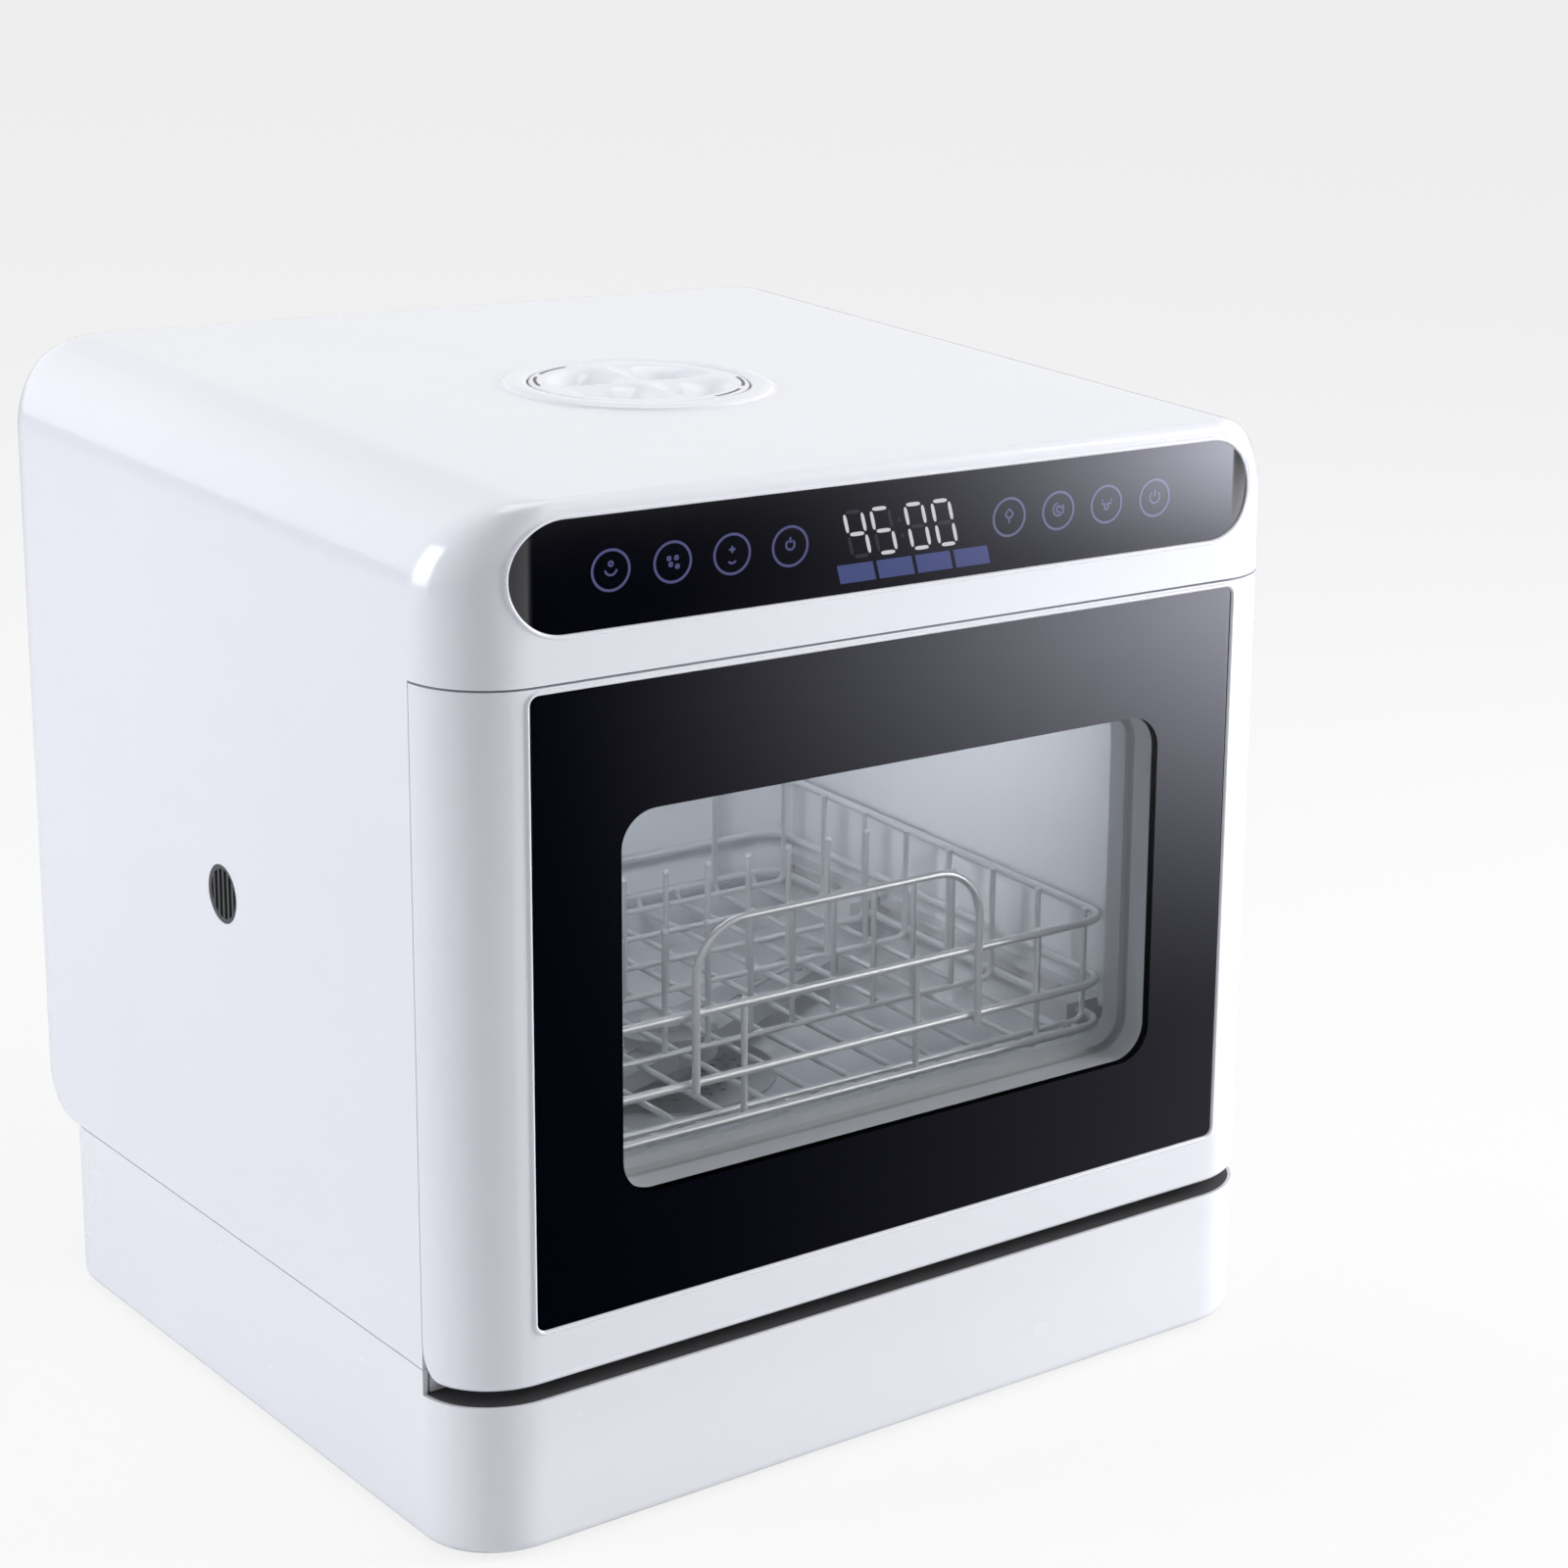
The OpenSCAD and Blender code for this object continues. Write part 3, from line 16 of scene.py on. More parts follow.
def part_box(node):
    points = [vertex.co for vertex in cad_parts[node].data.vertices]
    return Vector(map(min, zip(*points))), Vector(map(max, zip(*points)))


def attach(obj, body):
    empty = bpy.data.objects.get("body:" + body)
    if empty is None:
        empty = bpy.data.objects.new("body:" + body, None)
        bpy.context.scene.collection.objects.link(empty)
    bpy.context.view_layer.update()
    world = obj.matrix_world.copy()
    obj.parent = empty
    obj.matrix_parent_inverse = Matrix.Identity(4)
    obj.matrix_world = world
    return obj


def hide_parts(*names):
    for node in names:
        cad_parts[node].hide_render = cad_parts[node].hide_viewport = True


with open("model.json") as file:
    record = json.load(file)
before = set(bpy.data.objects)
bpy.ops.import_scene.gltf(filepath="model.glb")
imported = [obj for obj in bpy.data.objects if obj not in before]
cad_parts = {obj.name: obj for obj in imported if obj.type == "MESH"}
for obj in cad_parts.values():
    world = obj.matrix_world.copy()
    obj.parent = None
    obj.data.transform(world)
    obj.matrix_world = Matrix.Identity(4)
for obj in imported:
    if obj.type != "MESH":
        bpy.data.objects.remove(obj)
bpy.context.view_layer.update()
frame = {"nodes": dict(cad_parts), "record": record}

# %% [markdown]
# ## Sizes that the pieces share
# The scene can't read the construction's source, so the few sizes that the new surfaces need are
# named here once. All the later cells use these names.

# %% Name the sizes
HALF_W, FRONT, REAR, TOP = 0.210, -0.206, 0.206, 0.446
LONG_R, FRONT_R, REAR_R = 0.040, 0.035, 0.030
EDGE_R, BACK_R, HEEL_R = 0.004, 0.014, 0.020
SHELL_Z0, HEADER_Z0, SEAM_Y = 0.0806, 0.3728, -0.172
DOOR_Z0, DOOR_Z1, DOOR_BACK = 0.0754, 0.3718, -0.1726
BASE_REAR, BASE_TOP, BASE_FRONT, BASE_Z0 = 0.1765, 0.080, 0.069, 0.002
GLASS_HW, GLASS_Z0, GLASS_Z1, GLASS_R = 0.177, 0.100, 0.369, 0.004
PANEL_HW, PANEL_Z0, PANEL_Z1 = 0.1845, 0.392, 0.438
WINDOW_HW, WINDOW_Z0, WINDOW_Z1, WINDOW_R = 0.137, 0.1487, 0.3147, 0.016
CAP_X, CAP_Y, CAP_R, COLLAR_R = -0.015, -0.019, 0.048, 0.059
print("body", 2 * HALF_W, "x", REAR - FRONT, "x", TOP)

# %% [markdown]
# ## The camera
# The viewing angle was worked out from the photograph: outlines, corners and marks of known place
# fix where the camera stood, how it was turned and how long its lens was. Three angles turn the
# axes, first about the vertical, then up or down, then about the line of sight. The fit was free to
# shift the lens as well, so the shift is a part of its result.

# %% Place the camera
CAM_AT = Vector((-0.86235, -1.42098, 0.76047))
YAW, PITCH, ROLL, FOCAL = 0.81135, -0.26689, 0.06741, 82.319
SHIFT_X, SHIFT_Y, SENSOR = -0.5124, -0.0523, 36.0
ahead = Vector((math.sin(YAW) * math.cos(PITCH), math.cos(YAW) * math.cos(PITCH), math.sin(PITCH)))
right = Vector((math.cos(YAW), -math.sin(YAW), 0.0))
above = right.cross(ahead)
side = right * math.cos(ROLL) + above * math.sin(ROLL)
above = above * math.cos(ROLL) - right * math.sin(ROLL)
turn = Matrix((side, above, -ahead)).transposed()
camera_data = bpy.data.cameras.new("photo_camera")
camera_data.lens, camera_data.sensor_width = FOCAL, SENSOR
camera_data.shift_x, camera_data.shift_y = SHIFT_X, SHIFT_Y
camera = bpy.data.objects.new("photo_camera", camera_data)
camera.matrix_world = Matrix.Translation(CAM_AT) @ turn.to_4x4()
bpy.context.scene.collection.objects.link(camera)
bpy.context.scene.camera = camera
print("camera at", [round(c, 3) for c in CAM_AT], "lens", FOCAL)

# %% [markdown]
# ## The studio
# A product picture like this one is lit by large soft boxes against white. A pale floor catches a
# soft shadow. The world is white for the camera and for mirrors and glass, but it lights the object
# at a plainer level, so that white plastic doesn't burn out. A small lamp stands in the wash chamber,
# and a glowing card lies on the floor, which only mirror-like surfaces see.

# %% Build floor, world and lamps
WORLD_LIGHT, WORLD_SEEN, FLOOR_GLOW = 0.28, 1.0, 0.8
COOL, WORLD_COLOR, CARD_COLOR = (0.95, 0.97, 1.0), (0.94, 0.96, 1.0, 1.0), (0.94, 0.94, 1.1, 1.0)
FLOOR_HALF, FLOOR_Z, CARD_Z = 30.0, -0.0004, 0.0012
scene = bpy.context.scene
scene.view_settings.view_transform = "Standard"


def link(obj):
    """Puts an object into the scene and returns it."""
    scene.collection.objects.link(obj)
    return obj


world = bpy.data.worlds.new("studio_world")
scene.world = world
world.use_nodes = True
wn, wl = world.node_tree.nodes, world.node_tree.links
wn.clear()
path = wn.new("ShaderNodeLightPath")
seen = wn.new("ShaderNodeMath")
seen.operation = "MAXIMUM"
mirrored = wn.new("ShaderNodeMath")
mirrored.operation = "MAXIMUM"
wl.new(path.outputs["Is Glossy Ray"], mirrored.inputs[0])
wl.new(path.outputs["Is Transmission Ray"], mirrored.inputs[1])
wl.new(path.outputs["Is Camera Ray"], seen.inputs[0])
wl.new(mirrored.outputs[0], seen.inputs[1])
light_bg, seen_bg = wn.new("ShaderNodeBackground"), wn.new("ShaderNodeBackground")
mixer = wn.new("ShaderNodeMixShader")
light_bg.inputs["Color"].default_value = WORLD_COLOR
light_bg.inputs["Strength"].default_value = WORLD_LIGHT
seen_bg.inputs["Color"].default_value = (1.0, 1.0, 1.0, 1.0)
seen_bg.inputs["Strength"].default_value = WORLD_SEEN
wl.new(seen.outputs[0], mixer.inputs[0])
wl.new(light_bg.outputs[0], mixer.inputs[1])
wl.new(seen_bg.outputs[0], mixer.inputs[2])
wl.new(mixer.outputs[0], wn.new("ShaderNodeOutputWorld").inputs["Surface"])


def soft_box(name, at, aim, size, power, color=(1.0, 1.0, 1.0)):
    """A square area lamp at a point, its face turned towards aim."""
    data = bpy.data.lights.new(name, "AREA")
    data.energy, data.size, data.color = power, size, color
    lamp = bpy.data.objects.new(name, data)
    lamp.location = at
    lamp.rotation_euler = (Vector(aim) - Vector(at)).to_track_quat("-Z", "Y").to_euler()
    return link(lamp)


soft_box("top_box", (-0.1, 0.1, 2.3), (0, 0, 0.2), 1.5, 18.0)
soft_box("front_box", (1.7, -1.25, 0.8), (0.05, -0.1, 0.2), 1.1, 40.0)
soft_box("left_box", (-2.6, 1.25, 0.9), (0, 0, 0.2), 1.4, 46.0, COOL)
inside = soft_box("chamber_lamp", (-0.09, -0.10, 0.338), (0.17, 0.09, 0.31), 0.09, 0.6, COOL)
inside.data.spread = math.radians(110)
inside.visible_camera = inside.visible_glossy = False


def plain_mesh(name, points, faces):
    """A mesh object from an array of points and an array of faces."""
    mesh = bpy.data.meshes.new(name)
    mesh.from_pydata(np.asarray(points, float).tolist(), [], np.asarray(faces, int).tolist())
    mesh.update()
    return link(bpy.data.objects.new(name, mesh))


signs_xy = ((-1, -1), (1, -1), (1, 1), (-1, 1))
floor_corners = [(x * FLOOR_HALF, y * FLOOR_HALF, FLOOR_Z) for x, y in signs_xy]
floor = plain_mesh("studio_floor", floor_corners, [(0, 1, 2, 3)])
floor_paint = bpy.data.materials.new("studio_floor")
floor_paint.use_nodes = True
fn, fl = floor_paint.node_tree.nodes, floor_paint.node_tree.links
floor_bsdf = fn["Principled BSDF"]
floor_bsdf.inputs["Base Color"].default_value = (0.86, 0.86, 0.87, 1.0)
floor_bsdf.inputs["Roughness"].default_value = 0.9
floor_bsdf.inputs["Specular IOR Level"].default_value = 0.1
glow = fn.new("ShaderNodeEmission")
floor_path, floor_mix = fn.new("ShaderNodeLightPath"), fn.new("ShaderNodeMixShader")
glow.inputs["Strength"].default_value = 1.0
shade = fn.new("ShaderNodeMath")
shade.operation = "MULTIPLY"
shade.inputs[1].default_value = FLOOR_GLOW
fl.new(floor_path.outputs["Is Camera Ray"], shade.inputs[0])
fl.new(shade.outputs[0], floor_mix.inputs[0])
fl.new(floor_bsdf.outputs[0], floor_mix.inputs[1])
fl.new(glow.outputs[0], floor_mix.inputs[2])
fl.new(floor_mix.outputs[0], fn["Material Output"].inputs["Surface"])
floor.data.materials.append(floor_paint)

# a card on the floor that only mirror-like surfaces see, so that black glass shades from black to
# grey: each of its points lies where the line of sight to a front point (u, w) meets the floor
# after the front has mirrored it, so its brightness can be set by place on the front
card_u = np.linspace(-0.24, 0.24, 61)
card_w = np.concatenate([np.linspace(0.05, 0.378, 31), np.linspace(0.38, TOP, 9)])
u, w = np.meshgrid(card_u, card_w, indexing="ij")
onward = w / (CAM_AT.z - w)
card_x = u + (u - CAM_AT.x) * onward
card_y = FRONT - (FRONT - CAM_AT.y) * onward
step = len(card_w)
first_u, first_w = np.meshgrid(np.arange(len(card_u) - 1), np.arange(step - 1), indexing="ij")
corner = (first_u * step + first_w).ravel()
card_faces = np.column_stack([corner, corner + step, corner + step + 1, corner + 1])
card = plain_mesh("glass_card", np.dstack([card_x, card_y, CARD_Z + 0 * u]).reshape(-1, 3), card_faces)

# its brightness grows to the right and upwards, by one curve for the door's glass and by another
# for the control glass above the seam
SEAM_Z, DOOR_GLOW, PANEL_GLOW = 0.379, 3.1, 5.7
along = np.clip((u + 0.19) / 0.36, 0, 1.1)
on_door = DOOR_GLOW * along**2.0 * (0.08 + 0.92 * np.clip((w - 0.155) / 0.195, 0, 1.1) ** 1.9)
on_panel = PANEL_GLOW * along**3.9 * np.clip(0.42 + 0.58 * (w - 0.398) / 0.033, 0.2, 1.3)
bright = np.where(w > SEAM_Z, on_panel, on_door)
level = card.data.attributes.new("level", "FLOAT", "POINT")
level.data.foreach_set("value", bright.ravel().astype(np.float32))
card.visible_camera = card.visible_diffuse = card.visible_shadow = card.visible_transmission = False
card_paint = bpy.data.materials.new("glass_card")
card_paint.use_nodes = True
cn, cl = card_paint.node_tree.nodes, card_paint.node_tree.links
cn.clear()
card_level, card_glow = cn.new("ShaderNodeAttribute"), cn.new("ShaderNodeEmission")
card_level.attribute_name = "level"
card_glow.inputs["Color"].default_value = CARD_COLOR
cl.new(card_level.outputs["Fac"], card_glow.inputs["Strength"])
cl.new(card_glow.outputs[0], cn.new("ShaderNodeOutputMaterial").inputs["Surface"])
card.data.materials.append(card_paint)

# %% [markdown]
# ## Shared effects
# Moulded plastic is never one flat colour: light falls off it in faint clouds, and its skin has a
# very shallow orange peel. Both come from noise on Object coordinates, so they stay on the piece.
# They are node groups, built once and placed in each material with its own values. A third group
# tells the clear window of the door's glass from its black printed border: a point is outside when
# it lies farther than the corner radius from the window's inner rectangle.

# %% Build the shared node groups
CLOUD_SCALE, WIPE_SCALE = 9.0, 24.0


def group_of(name, ins, outs):
    """An empty shader node group with named inputs (name, value) and outputs (name, kind)."""
    tree = bpy.data.node_groups.new(name, "ShaderNodeTree")
    for label, value in ins:
        kind = "NodeSocketColor" if isinstance(value, tuple) else "NodeSocketFloat"
        socket = tree.interface.new_socket(label, in_out="INPUT", socket_type=kind)
        socket.default_value = value
    for label, kind in outs:
        tree.interface.new_socket(label, in_out="OUTPUT", socket_type=kind)
    return tree, tree.nodes.new("NodeGroupInput"), tree.nodes.new("NodeGroupOutput")


def noise(tree, scale, detail=2.0):
    """A noise texture on Object coordinates."""
    coords = tree.nodes.new("ShaderNodeTexCoord")
    node = tree.nodes.new("ShaderNodeTexNoise")
    node.inputs["Detail"].default_value = detail
    tree.links.new(coords.outputs["Object"], node.inputs["Vector"])
    if isinstance(scale, (int, float)):
        node.inputs["Scale"].default_value = scale
    else:
        tree.links.new(scale, node.inputs["Scale"])
    return node


def remap(tree, value, low, high):
    """Maps 0..1 to low..high, where low and high are numbers or sockets."""
    node = tree.nodes.new("ShaderNodeMapRange")
    tree.links.new(value, node.inputs["Value"])
    for name, end in (("To Min", low), ("To Max", high)):
        if isinstance(end, (int, float)):
            node.inputs[name].default_value = end
        else:
            tree.links.new(end, node.inputs[name])
    return node.outputs[0]


tint_group, gi, go = group_of(
    "cloudy_tint",
    [("Color", (0.9, 0.9, 0.9, 1.0)), ("Color 2", (0.88, 0.88, 0.9, 1.0)), ("Scale", CLOUD_SCALE)],
    [("Color", "NodeSocketColor")])
clouds = noise(tint_group, gi.outputs["Scale"], 3.0)
blend_node = tint_group.nodes.new("ShaderNodeMix")
blend_node.data_type = "RGBA"
tint_group.links.new(clouds.outputs["Fac"], blend_node.inputs["Factor"])
tint_group.links.new(gi.outputs["Color"], blend_node.inputs[6])
tint_group.links.new(gi.outputs["Color 2"], blend_node.inputs[7])
tint_group.links.new(blend_node.outputs[2], go.inputs["Color"])

peel_group, gi, go = group_of(
    "moulded_skin",
    [("Scale", 600.0), ("Height", 0.00002), ("Rough Low", 0.2), ("Rough High", 0.26)],
    [("Normal", "NodeSocketVector"), ("Roughness", "NodeSocketFloat")])
peel = noise(peel_group, gi.outputs["Scale"], 2.0)
bump = peel_group.nodes.new("ShaderNodeBump")
bump.inputs["Strength"].default_value = 1.0
peel_group.links.new(gi.outputs["Height"], bump.inputs["Distance"])
peel_group.links.new(peel.outputs["Fac"], bump.inputs["Height"])
peel_group.links.new(bump.outputs[0], go.inputs["Normal"])
wipe = noise(peel_group, WIPE_SCALE, 4.0)
skin_rough = remap(peel_group, wipe.outputs["Fac"], gi.outputs["Rough Low"], gi.outputs["Rough High"])
peel_group.links.new(skin_rough, go.inputs["Roughness"])

mask_group, gi, go = group_of(
    "window_mask",
    [("Half Width", 0.1), ("Middle", 0.2), ("Half Height", 0.1), ("Corner", 0.01), ("Inside", 0.1)],
    [("Alpha", "NodeSocketFloat")])


def math_node(operation, a, b=0.0, c=0.0):
    """One math node of the window mask; each of a, b, c is a number or a socket."""
    node = mask_group.nodes.new("ShaderNodeMath")
    node.operation = operation
    for i, value in enumerate((a, b, c)):
        if isinstance(value, (int, float)):
            node.inputs[i].default_value = value
        else:
            mask_group.links.new(value, node.inputs[i])
    return node.outputs[0]


where = mask_group.nodes.new("ShaderNodeSeparateXYZ")
mask_coords = mask_group.nodes.new("ShaderNodeTexCoord")
mask_group.links.new(mask_coords.outputs["Object"], where.inputs[0])
off_middle = math_node("SUBTRACT", where.outputs["Z"], gi.outputs["Middle"])
over = []
for offset, half in ((where.outputs["X"], "Half Width"), (off_middle, "Half Height")):
    straight = math_node("SUBTRACT", gi.outputs[half], gi.outputs["Corner"])
    beyond = math_node("SUBTRACT", math_node("ABSOLUTE", offset), straight)
    over.append(math_node("MAXIMUM", beyond, 0.0))
squares = math_node("MULTIPLY_ADD", over[0], over[0], math_node("MULTIPLY", over[1], over[1]))
outside = math_node("GREATER_THAN", math_node("SQRT", squares), gi.outputs["Corner"])
mask_group.links.new(remap(mask_group, outside, gi.outputs["Inside"], 1.0), go.inputs["Alpha"])
print("groups:", [g.name for g in bpy.data.node_groups])

# %% [markdown]
# ## Finishes
# One function places both groups in a Principled material, and each finish gives its own numbers:
# how light the plastic is, how glossy, how coarse its skin. The door's glass is one black pane whose
# alpha drops inside the window.

# %% Make the finishes
GLOSS_SKIN, GLASS_SKIN, RUBBER_SKIN = (420.0, 0.00003), (60.0, 0.000004), (700.0, 0.0001)
GLASS_ROUGH, COAT_ROUGH, WINDOW_ALPHA = (0.06, 0.09), 0.08, 0.12


def finish(name, color, second=None, rough=(0.2, 0.26), peel=(600.0, 0.00002), metal=0.0, coat=0.0):
    """A Principled material: cloudy colour, moulded skin, and plain numbers on its own sockets."""
    mat = bpy.data.materials.new(name)
    mat.use_nodes = True
    nodes, links = mat.node_tree.nodes, mat.node_tree.links
    bsdf = nodes["Principled BSDF"]
    tint, skin = nodes.new("ShaderNodeGroup"), nodes.new("ShaderNodeGroup")
    tint.node_tree, skin.node_tree = tint_group, peel_group
    tint.inputs["Color"].default_value = (*color, 1.0)
    tint.inputs["Color 2"].default_value = (*(second or [c * 0.94 for c in color]), 1.0)
    tint.inputs["Scale"].default_value = CLOUD_SCALE
    skin.inputs["Scale"].default_value, skin.inputs["Height"].default_value = peel
    skin.inputs["Rough Low"].default_value, skin.inputs["Rough High"].default_value = rough
    links.new(tint.outputs["Color"], bsdf.inputs["Base Color"])
    links.new(skin.outputs["Normal"], bsdf.inputs["Normal"])
    links.new(skin.outputs["Roughness"], bsdf.inputs["Roughness"])
    bsdf.inputs["Metallic"].default_value = metal
    bsdf.inputs["Coat Weight"].default_value = coat
    bsdf.inputs["Coat Roughness"].default_value = COAT_ROUGH
    return mat


def clear_glass(name, color, alpha, rough=0.02, ior=1.5):
    """Thin glass as a glossy film: most of the light passes, and the surface still mirrors."""
    mat = bpy.data.materials.new(name)
    mat.use_nodes = True
    nodes, links = mat.node_tree.nodes, mat.node_tree.links
    bsdf = nodes["Principled BSDF"]
    tint = nodes.new("ShaderNodeGroup")
    tint.node_tree = tint_group
    tint.inputs["Color"].default_value = (*color, 1.0)
    tint.inputs["Color 2"].default_value = (*[c * 0.9 for c in color], 1.0)
    links.new(tint.outputs["Color"], bsdf.inputs["Base Color"])
    bsdf.inputs["Roughness"].default_value = rough
    bsdf.inputs["Alpha"].default_value = alpha
    bsdf.inputs["IOR"].default_value = ior
    return mat


def printed_glass(mat, half_w, z0, z1, corner, inside):
    """Gives a black glass a clear window: only there does its alpha drop to inside."""
    mask = mat.node_tree.nodes.new("ShaderNodeGroup")
    mask.node_tree = mask_group
    shape = {"Half Width": half_w, "Middle": (z0 + z1) / 2, "Half Height": (z1 - z0) / 2}
    for label, value in (*shape.items(), ("Corner", corner), ("Inside", inside)):
        mask.inputs[label].default_value = value
    mat.node_tree.links.new(mask.outputs["Alpha"], mat.node_tree.nodes["Principled BSDF"].inputs["Alpha"])


white_gloss = finish(
    "white_gloss_plastic", (0.85, 0.855, 0.905), (0.82, 0.825, 0.88), (0.16, 0.24), GLOSS_SKIN, coat=0.25)
base_gloss = finish(
    "base_gloss_plastic", (0.86, 0.865, 0.905), (0.83, 0.835, 0.88), (0.22, 0.3), GLOSS_SKIN, coat=0.15)
chamber_grey = finish("chamber_plastic", (0.72, 0.74, 0.77), (0.67, 0.69, 0.72), (0.28, 0.36))
inner_grey = finish("inner_plastic", (0.60, 0.61, 0.63), None, (0.4, 0.5))
arm_grey = finish("arm_plastic", (0.50, 0.51, 0.54), None, (0.35, 0.45))
dark_matt = finish(
    "dark_plastic", (0.035, 0.036, 0.04), (0.05, 0.05, 0.055), (0.45, 0.6), (900.0, 0.00006))
board_green = finish("board_green", (0.02, 0.12, 0.05), None, (0.3, 0.4))
black_glass = finish(
    "black_glass", (0.0007, 0.0008, 0.003), (0.001, 0.001, 0.004), GLASS_ROUGH, GLASS_SKIN, coat=1.0)
steel = finish(
    "satin_steel", (0.55, 0.55, 0.57), (0.48, 0.48, 0.5), (0.25, 0.35), (1400.0, 0.00002), metal=1.0)
rack_steel = finish(
    "bright_wire", (0.86, 0.87, 0.88), (0.78, 0.79, 0.81), (0.30, 0.42), (900.0, 0.00001), metal=0.75)
seal_grey = finish("grey_rubber", (0.06, 0.063, 0.068), None, (0.6, 0.75), RUBBER_SKIN)
black_rubber = finish("black_rubber", (0.02, 0.02, 0.022), (0.03, 0.03, 0.032), (0.6, 0.8), RUBBER_SKIN)
door_glass_mat = finish(
    "door_glass", (0.001, 0.0012, 0.004), (0.0015, 0.0016, 0.005), GLASS_ROUGH, GLASS_SKIN, coat=1.0)
printed_glass(door_glass_mat, WINDOW_HW, WINDOW_Z0, WINDOW_Z1, WINDOW_R, WINDOW_ALPHA)
BY_SLOT = {
    "white_plastic": white_gloss, "base_plastic": base_gloss, "chamber_plastic": chamber_grey,
    "inner_plastic": inner_grey, "arm_plastic": arm_grey, "dark_plastic": dark_matt,
    "board_green": board_green, "black_glass": black_glass, "door_glass": door_glass_mat,
    "inner_glass": clear_glass("inner_glass", (0.6, 0.65, 0.66), 0.08), "steel": steel,
    "rack_steel": rack_steel, "grey_rubber": seal_grey, "black_rubber": black_rubber}
slot_of = {row["node"]: row["material_slot"] for row in frame["record"]["subparts"]}
for node, obj in frame["nodes"].items():
    for i in range(len(obj.material_slots)):
        obj.material_slots[i].material = BY_SLOT[slot_of[node]]
    if not obj.material_slots:
        obj.data.materials.append(BY_SLOT[slot_of[node]])
print("finishes:", len(BY_SLOT), "painted nodes:", len(frame["nodes"]))

# %% [markdown]
# ## Moulded shells
# The body is a soft block. Seen from above, every level of it is a rectangle with round corners;
# the rectangle draws in near the top, where the long edges are rounded, and the front corners lose
# their roundness there, because the front top edge is nearly sharp. So the outer skin is a stack of
# level sections: a grid whose rows are heights and whose columns run once round the section. The
# alternative, a box with bevels, can't let one corner change its radius on the way up.

# %% Describe one level of the body
FRONT_TIP_R, REAR_TIP_R, FOOT_R = 0.006, 0.008, 0.005


def rise(z):
    """How far up the long edge's rounding a height lies: 0 below it, 1 at the top."""
    return np.clip((z - (TOP - LONG_R)) / LONG_R, 0.0, 1.0)


def round_in(depth, radius):
    """How far a quarter round of that radius has drawn in, depth (0..radius) past its start."""
    return radius - np.sqrt(np.maximum(radius**2 - np.clip(depth, 0.0, radius) ** 2, 0.0))


def body_form(z):
    """Half width, front, rear and the two corner radii of the body's section at height z."""
    shrink = np.sqrt(1.0 - rise(z) ** 2)
    wide = HALF_W - LONG_R + LONG_R * shrink
    front = FRONT + round_in(z - (TOP - EDGE_R), EDGE_R)
    rear = REAR - round_in(z - (TOP - BACK_R), BACK_R) - round_in(SHELL_Z0 + HEEL_R - z, HEEL_R)
    r_front = FRONT_TIP_R + (FRONT_R - FRONT_TIP_R) * shrink
    r_rear = REAR_TIP_R + (REAR_R - REAR_TIP_R) * shrink
    return wide, front, rear, r_front, r_rear


def door_form(z):
    """The same for the door: its lower edge is rolled in evenly by a 4 mm round."""
    drawn = round_in(DOOR_Z0 + EDGE_R - z, EDGE_R)
    one = np.ones_like(z)
    return HALF_W - drawn, FRONT + drawn, REAR * one, FRONT_R - drawn, REAR_R * one


def base_form(z):
    """The same for the base, with a 5 mm round at its foot."""
    drawn = round_in(BASE_Z0 + FOOT_R - z, FOOT_R)
    return HALF_W - drawn, FRONT + drawn, BASE_REAR - drawn, FRONT_R - drawn, REAR_R - drawn


def level_grid(form, z, kinds, t, right_end=None):
    """Points (rows, columns, 3). A column has a kind, one of eight stretches of the section taken
    counter-clockwise from the front (flat, arc, flat, arc ...), and t, 0..1 along its stretch."""
    wide, front, rear, r_front, r_rear = (np.asarray(v, float)[:, None] * np.ones(len(t)) for v in form(z))
    t = t[None, :] * np.ones((len(z), 1))
    stop = np.zeros_like(t) if right_end is None else right_end[:, None] * np.ones_like(t)
    a = -np.pi / 2 + t * (np.pi / 2 + stop)
    back = np.pi / 2 * t
    fx, fy, rx, ry = wide - r_front, front + r_front, wide - r_rear, rear - r_rear
    other = -np.pi / 2 + (1.0 - t) * (np.pi / 2 + stop)
    xs = [-fx + 2 * fx * t, fx + r_front * np.cos(a), wide, rx + r_rear * np.cos(back),
          rx - 2 * rx * t, -rx - r_rear * np.sin(back), -wide, -(fx + r_front * np.cos(other))]
    ys = [front, fy + r_front * np.sin(a), fy + (ry - fy) * t, ry + r_rear * np.sin(back),
          rear, ry + r_rear * np.cos(back), ry + (fy - ry) * t, fy + r_front * np.sin(other)]
    x, y = np.zeros_like(t), np.zeros_like(t)
    for kind in range(8):
        mine = kinds == kind
        x[:, mine], y[:, mine] = xs[kind][:, mine], ys[kind][:, mine]
    return np.dstack([x, y, z[:, None] * np.ones_like(t)])


def front_y(form, x, z):
    """Depth of the front skin at (x, z): flat between the corners, then a circular arc."""
    wide, front, _, r_front, _ = form(z)
    past = np.clip(np.abs(x) - (wide - r_front), 0.0, r_front)
    return front + r_front - np.sqrt(np.maximum(r_front**2 - past**2, 0.0))


print("half width at the top:", round(float(body_form(np.array([TOP]))[0][0]), 4))

# %% [markdown]
# ## From grids to a mesh
# A shell is several grids that share their border points: the stacked sections, a ring of quads
# round each opening, a lid. They are collected, put into one mesh, and equal points are merged, so
# the skin is one surface. Solidify then gives it the wall of a real moulding, a narrow bevel
# rounds the cut edges, and weighted normals keep the flat faces flat.

# %% Collect grids into one piece
SKIN_WALL, SOFT_EDGE, SOFT_ANGLE = 0.0025, 0.0005, math.radians(50)


